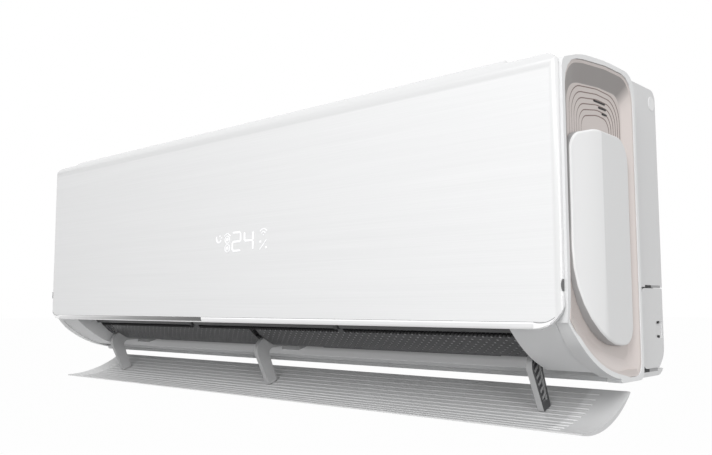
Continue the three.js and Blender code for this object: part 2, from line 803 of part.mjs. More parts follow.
function louverPlate() {
  const inner = chinRadius + louverGap;
  const steps = 24;
  const top = [];
  const under = [];
  const ribs = 11;
  for (let i = 0; i <= steps; i += 1) {
    const share = i / steps;
    const angle = THREE.MathUtils.degToRad(180 + louverFrom + (louverTo - louverFrom) * share);
    const bulge = louverEdge + louverCrown * (1 - (2 * share - 1) ** 2);
    top.push(point(chinFromPivot.x + inner * Math.cos(angle), chinFromPivot.y + inner * Math.sin(angle)));
    under.push(point(chinFromPivot.x + (inner + bulge) * Math.cos(angle),
      chinFromPivot.y + (inner + bulge) * Math.sin(angle)));
  }
  let plate = alongX([...top, ...under.reverse()], -louverHalf, louverHalf);
  const ribHeight = 0.7;
  const ribMargin = 31;
  for (let rib = 0; rib < ribs; rib += 1) {
    const angle = 180 + louverFrom + ((louverTo - louverFrom) * (rib + 1)) / (ribs + 1);
    const width = 0.45;
    plate = plate.add(alongX([
      ...arc(chinFromPivot.x, chinFromPivot.y, inner + 0.5, angle - width, angle + width, 1),
      ...arc(chinFromPivot.x, chinFromPivot.y, inner - ribHeight, angle + width * 0.4, angle - width * 0.4, 1),
    ], ribMargin - louverHalf, louverHalf - ribMargin));
  }
  const frontY = chinFromPivot.x - inner * Math.cos(THREE.MathUtils.degToRad(louverFrom));
  const plan = filleted([
    [-louverHalf, frontY - 6, 14], [louverHalf, frontY - 6, 14], [louverHalf, 30], [-louverHalf, 30],
  ], 5);
  return plate.intersect(alongZ(plan, -60, 60));
}

const openTurn = THREE.MathUtils.degToRad(louverOpen);
const openChin = chinFromPivot.clone().rotateAround(point(0, 0), openTurn);

// A pocket in the arm's right face, crossed by slanting ribs.
function armPocket() {
  const face = armWidth / 2;
  const floor = face - 2.4;
  const edge = filleted([
    [-13, 4], [-64, 0.6, 7], [-76, -9.6, 12], [-54, -52], [-45.5, -50], [-59.5, -9.3, 6], [-13, -4.2],
  ], 3);
  const ribPitch = 11;
  const ribHalf = 0.6;
  const ribs = [];
  for (let k = 0; k < 11; k += 1) {
    const at = -4 - ribPitch * k;
    ribs.push(alongX([
      point(at - ribHalf - 70, -70), point(at + ribHalf - 70, -70), point(at + ribHalf + 10, 10),
      point(at - ribHalf + 10, 10),
    ], floor - 1, face + 1));
  }
  return alongX(edge, floor, face + 1).subtract(joined(ribs));
}

// The arm is drawn about the hinge line, as it hangs when the louver is open.
function louverArm() {
  const outline = filleted([
    [0, 7, 0], [-65, 3.4, 10], [-80, -9, 16], [-38, -91.5, 0], [-29, -81.5, 0], [-56, -11, 7], [0, -7, 0],
  ], 5);
  const foot = alongX(arc(openChin.x, openChin.y, chinRadius + louverGap - fit - 0.7, 0, 360, 160).slice(1), -10, 10);
  const bar = alongX(outline, -armWidth / 2, armWidth / 2)
    .add(rodX(0, 0, armHub, -armWidth / 2, armWidth / 2, 20));
  return bar.intersect(foot)
    .subtract(rodX(0, 0, armPin + fit, -10, 10, 12))
    .subtract(armPocket());
}

const plateMesh = place(louver, 'louver_plate', louverPlate(), louverGrey);
plateMesh.rotation.x = openTurn;
for (const [name, x] of Object.entries(armPlaces)) {
  const arm = place(louver, `louver_arm_${name}`, louverArm(), outletGrey);
  arm.position.x = x;
}

function armBracket(x, name) {
  const cheekGap = armWidth / 2 + 0.5;
  const thick = 3;
  const below = alongX([
    point(-150, -200), ...lipFloor.slice(1, 5).map(({ x: y, y: z }) => point(y, z + fit)),
    point(-100, -200),
  ], x - 40, x + 40);
  const side = filleted([[-138, -152], [-129, -130, 6], [-110, -128, 6], [-105, -148]], 4);
  const nearCheek = alongX(side, x - cheekGap - thick, x - cheekGap);
  const farCheek = alongX(side, x + cheekGap, x + cheekGap + thick);
  const base = box(x - cheekGap - thick, x + cheekGap + thick, -137, -115, -152, -146.2);
  const foot = box(x + cheekGap, x + cheekGap + 26, -138, -117, -152, -141);
  if (name === 'right') {
    const pin = rodX(louverPivotY, louverPivotZ, armPin, x - cheekGap - 0.5, x - fit, 16);
    const leftFoot = box(x - cheekGap - 22, x - cheekGap, -138, -117, -152, -141);
    return joined([nearCheek, leftFoot, pin]).subtract(below);
  }
  const pin = rodX(louverPivotY, louverPivotZ, armPin, x - cheekGap - 0.5, x + cheekGap + 0.5, 16);
  return joined([nearCheek, farCheek, base, foot, pin]).subtract(below)
    .subtract(box(x + cheekGap + 7, x + cheekGap + 22, -140, -134, -145.5, -143.2))
    .subtract(box(x - cheekGap, x + cheekGap, -160, -100, -145.3, -139.9));
}

for (const [name, x] of Object.entries(armPlaces)) {
  place(parts, `arm_bracket_${name}`, armBracket(x, name), darkGrey);
}

function louverMotor() {
  const x = armPlaces.right;
  const shaft = rodX(louverPivotY, louverPivotZ, armPin, x + fit / 2, ductHalf + wall + 2, 16);
  return rodX(louverPivotY - 3, louverPivotZ + 4, 10, ductHalf + wall + fit, ductHalf + wall + 18, 20).add(shaft);
}

place(parts, 'louver_motor', louverMotor(), motorSteel);

// ---------- Perforated inner vane ----------

function innerVane() {
  const half = ductHalf - 3;
  const tilt = THREE.MathUtils.degToRad(vaneTilt);
  const blade = [];
  const steps = 5;
  for (let i = 0; i <= steps; i += 1) {
    const along = (vaneReach * i) / steps;
    blade.push(point(along, -3.2 * Math.sin((Math.PI * i) / steps) + vaneSheet / 2));
  }
  for (let i = steps; i >= 0; i -= 1) {
    const along = (vaneReach * i) / steps;
    blade.push(point(along, -3.2 * Math.sin((Math.PI * i) / steps) - vaneSheet / 2));
  }
  const placed = blade.map((at) => at.clone().rotateAround(point(0, 0), tilt)
    .add(point(vaneAxisY, vaneAxisZ)));
  let vane = alongX(placed, -half, half).add(rodX(vaneAxisY, vaneAxisZ, vaneHub, -half, half, 12));
  for (const x of Object.values(armPlaces)) {
    const notch = box(x - 6.5, x + 6.5, vaneAxisY + 7.5, vaneAxisY + 60, vaneAxisZ - 60, vaneAxisZ + 5);
    vane = vane.subtract(notch);
  }
  for (const x of Object.values(hangerPlaces)) {
    vane = vane.subtract(box(x - 4.5, x + 4.5, vaneAxisY - 8, vaneAxisY + 6, vaneAxisZ - 8, vaneAxisZ + 8));
    vane = vane.add(rodX(vaneAxisY, vaneAxisZ, 2, x - 5, x + 5, 8));
  }
  return vane.add(rodX(vaneAxisY, vaneAxisZ, 3, -ductHalf - wall, -half + 1, 12))
    .add(rodX(vaneAxisY, vaneAxisZ, 3, half - 1, ductHalf + wall, 12));
}

place(parts, 'inner_vane', innerVane(), darkGrey);

function vaneMotor() {
  const x = -(ductHalf + wall + fit);
  return rodX(vaneAxisY, vaneAxisZ, 12, x - 16, x, 28);
}

place(parts, 'inner_vane_motor', vaneMotor(), motorSteel);

// ---------- Drain pan with the roof of the duct ----------

function drainPan() {
  const half = ductHalf + 8;
  const profile = [
    point(-243, -40), point(-243, -66), point(-246.5, -97), point(-243.5, -99.5), point(-173, -52),
    point(-172, -40), point(-175, -40), point(-177, -50), point(-190, -56), point(-240.5, -58),
    point(-240.5, -40),
  ];
  const hollow = [point(-240.3, -60.5), point(-242.6, -94.4), point(-190, -58.8)];
  return alongX(profile, -half, half)
    .subtract(alongX(hollow, -beyond, beyond))
    .subtract(box(ductHalf - 0.5, beyond, -250, -236, -110, -88))
    .subtract(box(-beyond, -ductHalf + 0.5, -250, -236, -110, -88));
}

function vaneHanger(x) {
  const roof = alongX([point(-246.5, -97 - fit), point(-173, -52.6), point(-173, -40), point(-250, -40)], x - 20, x + 20);
  const roofCut = alongX([
    point(-243.5, -99.5 - fit * 1.3), point(-173, -52 - fit * 1.3), point(-173, -20), point(-243.5, -20),
  ], x - 20, x + 20);
  const strut = alongX(filleted([
    [-214, vaneAxisZ - 5, 4], [-203, vaneAxisZ - 5, 4], [-200, -60], [-216, -60],
  ]), x - 3, x + 3);
  return strut.subtract(roofCut).subtract(roof.intersect(roofCut))
    .subtract(rodX(vaneAxisY, vaneAxisZ, 2 + fit, x - 10, x + 10, 12));
}

place(parts, 'drain_pan', drainPan(), outletGrey);
for (const [name, x] of Object.entries(hangerPlaces)) {
  place(parts, `vane_hanger_${name}`, vaneHanger(x), darkGrey);
}

// ---------- Swing vanes ----------

const railTop = -136;

function swingRail(side) {
  const start = swingPlaces[side];
  const end = start + swingPitch * (swingCount - 1);
  const below = alongX([
    point(-150, -200), point(-126, -148.6 + fit), point(-111.2, -142.4 + fit), point(-105, -139.6), point(-100, -200),
  ], start - 40, end + 40);
  let rail = box(start - 12, end + 12, swingY - 5, swingY + 5, -152, railTop).subtract(below);
  for (let k = 0; k < swingCount; k += 1) {
    rail = rail.subtract(rodZ(start + swingPitch * k, swingY, 2 + fit, k === 0 ? -160 : railTop - 7, -100, 8));
  }
  return rail;
}

function swingVane() {
  const blade = alongX(filleted([
    [-31, 6, 4], [9, 6, 4], [9, 58, 10], [-20, 50, 14], [-31, 30, 6],
  ], 2), -0.8, 0.8);
  const pin = rodZ(0, 0, 2, -6, 10, 8);
  const linkPin = rodZ(0, swingLinkY - swingY, 1.5, 0.2, 8, 6);
  return joined([blade, pin, linkPin]);
}

function linkBar(side) {
  const start = swingPlaces[side];
  const end = start + swingPitch * (swingCount - 1);
  let bar = box(start - 5, end + 5, swingLinkY - 3.5, swingLinkY + 3.5, railTop + 1.4, railTop + 3.4);
  for (let k = 0; k < swingCount; k += 1) {
    bar = bar.subtract(rodZ(start + swingPitch * k, swingLinkY, 1.5 + fit, -200, -100, 6));
  }
  return bar;
}

function swingMotor(x) {
  return rodZ(x, swingY, 12, -163.7, -153.5, 24).add(rodZ(x, swingY, 2, -160, railTop - 6.4, 12));
}

for (const side of Object.keys(sides)) {
  place(parts, `swing_rail_${side}`, swingRail(side), darkGrey);
  for (let k = 0; k < swingCount; k += 1) {
    const mesh = place(parts, `swing_vane_${side}_${k + 1}`, swingVane(), darkGrey);
    mesh.position.set(swingPlaces[side] + swingPitch * k, swingY, railTop);
  }
  place(parts, `swing_link_${side}`, linkBar(side), darkGrey);
  place(parts, `swing_motor_${side}`, swingMotor(swingPlaces[side]), motorSteel);
}

// ---------- Cross-flow fan and its motor ----------

function crossFlowFan() {
  const discs = [-fanHalf, -fanHalf / 3, fanHalf / 3, fanHalf].map((x) => {
    const from = Math.max(-fanHalf, x - 1.5);
    return rodX(0, 0, fanRadius, from, from + 3, 32);
  });
  discs[3] = rodX(0, 0, fanRadius, fanHalf - 3, fanHalf, 32);
  const blades = [];
  for (let k = 0; k < fanBlades; k += 1) {
    const outline = [
      ...arc(40, 5, 9, -95, 15, 2),
      ...arc(40.2, 5.6, 7.6, 15, -95, 1),
    ].map((at) => at.rotateAround(point(0, 0), (2 * Math.PI * k) / fanBlades));
    blades.push(alongX(outline, -fanHalf + 1, fanHalf - 1));
  }
  const hubs = rodX(0, 0, 11, fanHalf - 14, fanHalf - 1, 20)
    .add(rodX(0, 0, shaftRadius, -ductHalf - 14, -fanHalf + 1, 16));
  const socket = rodX(0, 0, shaftRadius + fit, fanHalf - 12, fanHalf + 5, 16);
  return joined([...blades, ...discs, hubs]).subtract(socket);
}

const fan = place(parts, 'cross_flow_fan', crossFlowFan(), darkGrey);
fan.position.set(0, fanY, fanZ);

function fanMotor() {
  return rodX(fanY, fanZ, 40, ductHalf + 6, ductHalf + 40, 28)
    .add(rodX(fanY, fanZ, 13, ductHalf + 2, endWallX + wall, 16))
    .add(rodX(fanY, fanZ, shaftRadius, fanHalf - 10, ductHalf + 4, 12));
}

function fanBearing() {
  return rodX(fanY, fanZ, 12 - fit, -endWallX - wall, -endWallX + 4, 24)
    .add(rodX(fanY, fanZ, 9, -endWallX, -ductHalf - 2, 24))
    .subtract(rodX(fanY, fanZ, shaftRadius + fit, -ductHalf - 16, -ductHalf + 5, 16));
}

place(parts, 'fan_motor', fanMotor(), motorSteel);
place(parts, 'fan_bearing', fanBearing(), darkGrey);

// ---------- Evaporator ----------

const coilHalf = ductHalf + 14;
const coilRight = ductHalf - 2;
const coilThickness = 26;

// Folded fin pack: an upright front bank, a leaning upper bank and a rear bank.
const coilPath = [point(-222, -36), point(-222, 84), point(-158, 151), point(-144, 151), point(-62, 78)];
const coilInner = [point(-81, 59), point(-150, 121), point(-196, 72), point(-196, -36)];

function evaporator() {
  return alongX([...coilPath, ...coilInner], -coilHalf, coilRight);
}

function coilTubePlaces() {
  return [
    [-209, -24], [-209, 2], [-209, 28], [-209, 54], [-203, 80], [-184, 99], [-165, 118],
    [-138, 129], [-118, 111], [-98, 93],
  ];
}

function coilEnd(side) {
  const out = (side === 'right' ? coilRight : coilHalf) + fit;
  let end = alongX([...coilPath, ...coilInner], out, out + 1.6);
  const places = coilTubePlaces();
  for (let k = 0; k < places.length; k += 2) {
    const [y0, z0] = places[k];
    const [y1, z1] = places[k + 1];
    const bend = new THREE.CatmullRomCurve3([
      new THREE.Vector3(out + 1, y0, z0), new THREE.Vector3(out + 7, y0, z0),
      new THREE.Vector3(out + 17, (y0 + y1) / 2, (z0 + z1) / 2),
      new THREE.Vector3(out + 7, y1, z1), new THREE.Vector3(out + 1, y1, z1),
    ]);
    const section = new THREE.Shape(arc(0, 0, 3.5, 0, 360, 6).slice(1));
    end = end.add(toSolid(new THREE.ExtrudeGeometry(section, { steps: 6, extrudePath: bend })));
  }
  return handed(side, end);
}

place(parts, 'evaporator_coil', evaporator(), aluminium);
for (const side of Object.keys(sides)) {
  place(parts, `coil_end_${side}`, coilEnd(side), aluminium);
}

// ---------- Electrical box ----------

const boxDepth = 27;
const boxHeight = [-28, 118];
const boxFront = 6 - frameFront;

function electricalBox() {
  const right = endWallX - fit;
  const [bottom, top] = boxHeight;
  return box(right - boxDepth, right, boxFront, -186, bottom, top)
    .subtract(box(right - boxDepth + 2, right - 2, boxFront - 5, -188, bottom + 2, top - 2));
}

function electricalLid() {
  const right = endWallX - fit;
  const [bottom, top] = boxHeight;
  return box(right - boxDepth - 1, right, boxFront - 2, boxFront - fit, bottom - 1, top + 1);
}

place(parts, 'electrical_box', electricalBox(), paleGrey);
place(parts, 'electrical_lid', electricalLid(), paleGrey);

export default parts;
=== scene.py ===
import json
import math

import bmesh
import bpy
from mathutils import Matrix, Vector


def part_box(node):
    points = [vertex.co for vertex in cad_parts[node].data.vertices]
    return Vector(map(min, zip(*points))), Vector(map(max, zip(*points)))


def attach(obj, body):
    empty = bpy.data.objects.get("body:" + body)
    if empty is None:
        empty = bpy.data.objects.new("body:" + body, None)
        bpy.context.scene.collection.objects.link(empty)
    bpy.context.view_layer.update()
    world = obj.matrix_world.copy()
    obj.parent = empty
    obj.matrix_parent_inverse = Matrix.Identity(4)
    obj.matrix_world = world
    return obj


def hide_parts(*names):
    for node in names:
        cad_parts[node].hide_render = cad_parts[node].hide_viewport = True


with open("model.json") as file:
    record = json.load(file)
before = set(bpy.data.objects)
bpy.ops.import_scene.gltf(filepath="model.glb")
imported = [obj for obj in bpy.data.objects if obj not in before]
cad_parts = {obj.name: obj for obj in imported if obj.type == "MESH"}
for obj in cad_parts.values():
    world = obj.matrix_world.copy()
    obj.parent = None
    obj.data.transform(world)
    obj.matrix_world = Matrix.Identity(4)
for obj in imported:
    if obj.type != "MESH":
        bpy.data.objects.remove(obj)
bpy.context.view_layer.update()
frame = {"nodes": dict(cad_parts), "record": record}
bodyOf = {node: body for body, nodes in frame["record"]["behaviour"]["bodies"].items() for node in nodes}
slotOf = {part["node"]: part["material_slot"] for part in frame["record"]["subparts"]}
print("frame loaded:", len(frame["nodes"]), "nodes")


cameraSettings = {
    "place": (0.85459, -0.93753, -0.08597),
    "looks": (-0.6718, 0.7345, 0.0971),
    "roll": -0.11,     # degrees
    "lens": 40.0,
}


def makeCamera(settings):
    data = bpy.data.cameras.new("viewCamera")
    data.lens = settings["lens"]
    data.sensor_width = 36.0
    data.clip_start = 0.05
    camera = bpy.data.objects.new("viewCamera", data)
    bpy.context.scene.collection.objects.link(camera)
    turn = Vector(settings["looks"]).to_track_quat("-Z", "Y").to_matrix().to_4x4()
    roll = Matrix.Rotation(math.radians(settings["roll"]), 4, "Z")
    camera.matrix_world = Matrix.Translation(settings["place"]) @ turn @ roll
    bpy.context.scene.camera = camera


makeCamera(cameraSettings)
bpy.context.scene.view_settings.view_transform = "Standard"


class Wire:
    # One output of a node, so that shader maths reads as plain expressions.
    def __init__(self, tree, socket=None):
        self.tree = tree
        self.socket = socket

    def node(self, kind, settings=None, inputs=None, output=0):
        made = self.tree.nodes.new(kind)
        for name, value in (settings or {}).items():
            if name == "stops":
                ramp = made.color_ramp.elements
                while len(ramp) < len(value):
                    ramp.new(0.5)
                for stop, (spot, shade) in zip(ramp, value):
                    stop.position = spot
                    stop.color = (shade, shade, shade, 1)
            else:
                setattr(made, name, value)
        for name, value in (inputs or {}).items():
            if isinstance(value, Wire):
                self.tree.links.new(value.socket, made.inputs[name])
            else:
                made.inputs[name].default_value = value
        return Wire(self.tree, made.outputs[output])

    def maths(self, operation, first, second=0.0):
        return self.node("ShaderNodeMath", {"operation": operation}, {0: first, 1: second})

    def __add__(self, other):
        return self.maths("ADD", self, other)

    def __sub__(self, other):
        return self.maths("SUBTRACT", self, other)

    def __rsub__(self, other):
        return self.maths("SUBTRACT", other, self)

    def __mul__(self, other):
        return self.maths("MULTIPLY", self, other)

    def __truediv__(self, other):
        return self.maths("DIVIDE", self, other)

    def __gt__(self, other):
        return self.maths("GREATER_THAN", self, other)

    def __lt__(self, other):
        return self.maths("LESS_THAN", self, other)

    __radd__ = __add__
    __rmul__ = __mul__

    def blend(self, mask, first, second):
        colours = [(*c, 1) if isinstance(c, tuple) else c for c in (first, second)]
        return self.node("ShaderNodeMix", {"data_type": "RGBA"}, {0: mask, 6: colours[0], 7: colours[1]}, 2)

    def ramp(self, stops):
        return self.node("ShaderNodeValToRGB", {"stops": stops}, {"Fac": self})


def newMaterial(name, constants=None):
    material = bpy.data.materials.new(name)
    material.use_nodes = True
    shader = material.node_tree.nodes["Principled BSDF"]
    for socket, value in (constants or {}).items():
        shader.inputs[socket].default_value = value
    return material, shader, Wire(material.node_tree)


def feed(wires, shader, socket, value):
    wires.tree.links.new(value.socket, shader.inputs[socket])


def painted(wires, shader, colour, rough):
    feed(wires, shader, "Base Color", colour)
    feed(wires, shader, "Roughness", rough)


def placed(wires, scale=(1, 1, 1)):
    here = wires.node("ShaderNodeTexCoord", output="Object")
    return wires.node("ShaderNodeMapping", None, {"Vector": here, "Scale": scale})


def axisValue(wires, axis):
    # one coordinate of the surface in metres: 0 is X, 1 is Y, 2 is Z
    here = wires.node("ShaderNodeTexCoord", output="Object")
    return wires.node("ShaderNodeSeparateXYZ", None, {"Vector": here}, axis)


def noise(wires, vector, scale, detail=2.0):
    return wires.node("ShaderNodeTexNoise", None, {"Vector": vector, "Scale": scale, "Detail": detail})


def bump(wires, shader, height, strength, distance):
    made = wires.node("ShaderNodeBump", None, {"Strength": strength, "Distance": distance, "Height": height})
    feed(wires, shader, "Normal", made)


grainSettings = {
    "fine": 1400.0,        # noise scale of a moulded surface's grain
    "depth": 0.0002,
    "drift": 9.0,          # noise scale of the slow change of shade
}


def grained(wires, shader, strength, scale=grainSettings["fine"]):
    # the fine surface grain
    bump(wires, shader, noise(wires, placed(wires), scale, 1.0), strength, grainSettings["depth"])


def drifting(wires):
    # the slow change of shade over a moulded surface
    return noise(wires, placed(wires), grainSettings["drift"])


def clamped(wires, value):
    return wires.node("ShaderNodeClamp", None, {0: value})


def moulded(name, shade, darker, rough, grain=0.08, coat=0.0):
    # moulded plastic
    material, shader, wires = newMaterial(name, {"Coat Weight": coat, "Coat Roughness": 0.15})
    drift = drifting(wires)
    painted(wires, shader, wires.blend(drift, darker, shade), rough - 0.05 + drift * 0.1)
    grained(wires, shader, grain)
    return material


stageSettings = {
    "floorZ": -0.75,
    "size": 40.0,
    "white": (1.0, 1.0, 1.0, 1.0),
    "floor": (0.38, 0.38, 0.38, 1.0),
    "seenWhite": 0.985,     # how far the floor turns to plain white for the camera
    "worldLevel": 0.58,
}


def whiteForCamera(wires, seen, lit, output):
    # the camera, mirrors and glass see plain white, while diffuse light sees the lit surface
    path = wires.tree.nodes.new("ShaderNodeLightPath")
    seenRay = Wire(wires.tree, path.outputs["Is Camera Ray"])
    for ray in ("Is Glossy Ray", "Is Transmission Ray"):
        seenRay = wires.maths("MAXIMUM", seenRay, Wire(wires.tree, path.outputs[ray]))
    mixed = wires.node("ShaderNodeMixShader", None, {0: seenRay, 1: lit, 2: seen})
    wires.tree.links.new(mixed.socket, output)


def makeWorld(settings):
    world = bpy.data.worlds.new("studio")
    world.use_nodes = True
    bpy.context.scene.world = world
    tree = world.node_tree
    tree.nodes.clear()
    wires = Wire(tree)
    output = tree.nodes.new("ShaderNodeOutputWorld")
    seen = wires.node("ShaderNodeBackground", None, {"Color": settings["white"], "Strength": 1.0})
    lit = wires.node("ShaderNodeBackground", None,
                     {"Color": settings["white"], "Strength": settings["worldLevel"]})
    whiteForCamera(wires, seen, lit, output.inputs["Surface"])


def makeFloor(settings):
    mesh = bpy.data.meshes.new("floor")
    form = bmesh.new()
    bmesh.ops.create_grid(form, x_segments=1, y_segments=1, size=settings["size"])
    bmesh.ops.translate(form, verts=form.verts, vec=(0, 0, settings["floorZ"]))
    form.to_mesh(mesh)
    form.free()
    floor = bpy.data.objects.new("floor", mesh)
    bpy.context.scene.collection.objects.link(floor)
    material = bpy.data.materials.new("paleFloor")
    material.use_nodes = True
    tree = material.node_tree
    tree.nodes.clear()
    wires = Wire(tree)
    output = tree.nodes.new("ShaderNodeOutputMaterial")
    lit = wires.node("ShaderNodeBsdfDiffuse", None, {"Color": settings["floor"]})
    glow = wires.node("ShaderNodeEmission", None, {"Color": settings["white"], "Strength": 1.0})
    seen = wires.node("ShaderNodeMixShader", None, {0: settings["seenWhite"], 1: lit, 2: glow})
    whiteForCamera(wires, seen, lit, output.inputs["Surface"])
    mesh.materials.append(material)


lampSettings = {
    "key": {"place": (1.1, -3.2, 2.3), "aim": (0.0, -0.12, 0.0), "size": 2.0, "watts": 92.0},
    "side": {"place": (2.7, -1.5, 0.2), "aim": (0.45, -0.15, 0.0), "size": 1.2, "watts": 19.0},
}


def makeLamps(lamps):
    for name, settings in lamps.items():
        data = bpy.data.lights.new(name, "AREA")
        data.shape = "DISK"
        data.size = settings["size"]
        data.energy = settings["watts"]
        lamp = bpy.data.objects.new(name, data)
        bpy.context.scene.collection.objects.link(lamp)
        away = Vector(settings["aim"]) - Vector(settings["place"])
        turn = away.to_track_quat("-Z", "Y").to_matrix().to_4x4()
        lamp.matrix_world = Matrix.Translation(settings["place"]) @ turn


makeWorld(stageSettings)
makeFloor(stageSettings)
makeLamps(lampSettings)
print("camera, floor and lamps ready")


panelFinish = {
    "dark": (0.735, 0.738, 0.742),
    "light": (0.86, 0.863, 0.868),
    "fine": (2.2, 1.0, 420.0),     # the brush marks run along X
    "wide": (0.9, 1.0, 60.0),
    "fadeFrom": -0.5,              # painted sheen: the colour grows lighter from left to right
    "fadeTo": 0.5,
    "paintedSheen": 0.22,
    "edge": (0.69, 0.692, 0.695),  # painted shade: the turned top and the two upright edges are darkened
    "shadedTop": 0.141,
    "shadedSide": 0.4885,
    "shadeSoft": 0.003,
}


def brushedPanel(settings=panelFinish):
    # satin white film with long horizontal brush marks, a painted sheen that grows from left to right, and
    # painted shade on its turned top and upright edges
    material, shader, wires = newMaterial("brushedPanel", {"Coat Weight": 0.35, "Coat Roughness": 0.12})
    marks = noise(wires, placed(wires, settings["fine"]), 3.0, 3.0)
    wide = noise(wires, placed(wires, settings["wide"]), 2.0, 2.0)
    both = marks * 0.6 + wide * 0.4
    # painted sheen: lighter towards the right, where the light falls
    along = (axisValue(wires, 0) - settings["fadeFrom"]) / (settings["fadeTo"] - settings["fadeFrom"])
    shade = both * 0.9 + (along - 0.5) * settings["paintedSheen"] * 2.0
    # painted shade on the turned top and on the upright edges
    top = (axisValue(wires, 2) - settings["shadedTop"]) / settings["shadeSoft"]
    side = (wires.maths("ABSOLUTE", axisValue(wires, 0)) - settings["shadedSide"]) / settings["shadeSoft"]
    turned = wires.node("ShaderNodeClamp", None, {0: wires.maths("MAXIMUM", top, side), 2: 0.8})
    face = wires.blend(shade, settings["dark"], settings["light"])
    painted(wires, shader, wires.blend(turned, face, settings["edge"]), 0.24 + both * 0.16)
    bump(wires, shader, marks, 0.05, 0.0002)
    return material


steelFinish = {
    "dark": (0.36, 0.37, 0.39),
    "light": (0.45, 0.46, 0.48),
    "drift": 25.0,
    "grain": 300.0,
}


def motorSteel(settings=steelFinish):
    # plain pressed steel
    material, shader, wires = newMaterial("motorSteel", {"Metallic": 0.9})
    drift = noise(wires, placed(wires), settings["drift"])
    painted(wires, shader, wires.blend(drift, settings["dark"], settings["light"]), 0.27 + drift * 0.16)
    grained(wires, shader, 0.05, settings["grain"])
    return material


def waves(wires, direction, scale):
    # even bands along one axis
    return wires.node("ShaderNodeTexWave", {"bands_direction": direction},
                      {"Vector": placed(wires), "Scale": scale, "Distortion": 0.0})


def finPack():
    # thin upright fins, with painted shade in the gaps between them
    material, shader, wires = newMaterial("finPack", {"Metallic": 0.7})
    wave = waves(wires, "X", 105.0)
    painted(wires, shader, wires.blend(wave, (0.12, 0.13, 0.14), (0.62, 0.64, 0.66)), 0.3 + wave * 0.2)
    bump(wires, shader, wave, 0.6, 0.001)
    return material


def galvanised():
    # zinc spangle on steel sheet
    material, shader, wires = newMaterial("galvanisedSheet", {"Metallic": 0.85})
    spangle = wires.node("ShaderNodeTexVoronoi", None, {"Vector": placed(wires), "Scale": 90.0})
    painted(wires, shader, wires.blend(spangle, (0.42, 0.44, 0.46), (0.6, 0.62, 0.64)),
            0.32 + spangle * 0.2)
    bump(wires, shader, spangle, 0.05, 0.0003)
    return material


def filterNet():
    # a fine square net in a moulded frame, with painted shade in the openings between its threads
    material, shader, wires = newMaterial("filterNet")
    threads = wires.maths("MAXIMUM", waves(wires, "X", 160.0), waves(wires, "Y", 160.0))
    painted(wires, shader, wires.blend(threads, (0.05, 0.055, 0.06), (0.20, 0.21, 0.22)),
            0.7 - threads * 0.2)
    bump(wires, shader, threads, 0.5, 0.0006)
    return material


finishes = {
    "panel_white": brushedPanel(),
    "trim_white": moulded("trimWhite", (0.80, 0.805, 0.81), (0.76, 0.765, 0.77), 0.3, 0.03, 0.3),
    "polished_strip": moulded("polishedStrip", (0.93, 0.93, 0.94), (0.90, 0.90, 0.91), 0.14, 0.0, 0.8),
    "champagne": moulded("champagneTrim", (0.65, 0.592, 0.568), (0.61, 0.552, 0.528), 0.4, 0.05),
    "pale_grey": moulded("paleGreyCase", (0.74, 0.742, 0.745), (0.70, 0.702, 0.705), 0.42, 0.1),
    "outlet_grey": moulded("outletGrey", (0.62, 0.625, 0.63), (0.58, 0.585, 0.59), 0.45, 0.1),
    "louver_grey": moulded("louverGrey", (0.56, 0.562, 0.565), (0.52, 0.522, 0.525), 0.4, 0.04),
    "dark_grey": moulded("darkGrey", (0.085, 0.085, 0.088), (0.065, 0.065, 0.068), 0.55, 0.12),
    "mesh_grey": filterNet(),
    "board_green": moulded("boardGreen", (0.03, 0.12, 0.06), (0.02, 0.09, 0.04), 0.4, 0.1),
    "galvanised": galvanised(),
    "fin_aluminium": finPack(),
    "motor_steel": motorSteel(),
}
cheekFinish = moulded("cheekGrey", (0.86, 0.865, 0.87), (0.83, 0.835, 0.84), 0.4, 0.06)
# black: painted shade inside the dish openings and the chassis slots, and the colour of the vane's teeth
slotBlack = moulded("slotBlack", (0.012, 0.012, 0.013), (0.008, 0.008, 0.009), 0.6, 0.1)
armFinish = moulded("armGrey", (0.50, 0.502, 0.505), (0.46, 0.462, 0.465), 0.35, 0.06)
# painted shade on the side of an arm that holds its pocket
armSideShade = moulded("armSideShade", (0.07, 0.072, 0.074), (0.055, 0.057, 0.059), 0.4, 0.06)
# painted shade in the arms' ribbed pockets
pocketShade = moulded("armPocketShade", (0.055, 0.055, 0.058), (0.04, 0.04, 0.043), 0.5, 0.06)
# painted shade along the steps of the dish's rings
ringShadeLine = moulded("ringShadeLine", (0.23, 0.165, 0.15), (0.19, 0.135, 0.12), 0.5, 0.05)
# painted shade on the pad's side walls
padWallShade = moulded("padWallShade", (0.46, 0.462, 0.465), (0.43, 0.432, 0.435), 0.4, 0.05)
# grey: painted shade for the line along the strip's end, and the paler rear of two chassis slots
paleSlot = moulded("paleSlot", (0.38, 0.38, 0.385), (0.34, 0.34, 0.345), 0.5, 0.05)
notchShade = moulded("notchShade", (0.16, 0.16, 0.165), (0.12, 0.12, 0.125), 0.6, 0.05)
# painted highlight: a white disc on the chassis's side
plugHighlight = moulded("plugHighlight", (0.86, 0.862, 0.865), (0.83, 0.832, 0.835), 0.35, 0.05)
# painted light: a pale sheet seen through the vane's holes
linerPaintedLight = moulded("linerPaintedLight", (0.50, 0.50, 0.505), (0.44, 0.44, 0.445), 0.5, 0.05)

for node, piece in frame["nodes"].items():
    piece.data.materials.clear()
    piece.data.materials.append(finishes[slotOf[node]])
print("finishes ready:", len(finishes))


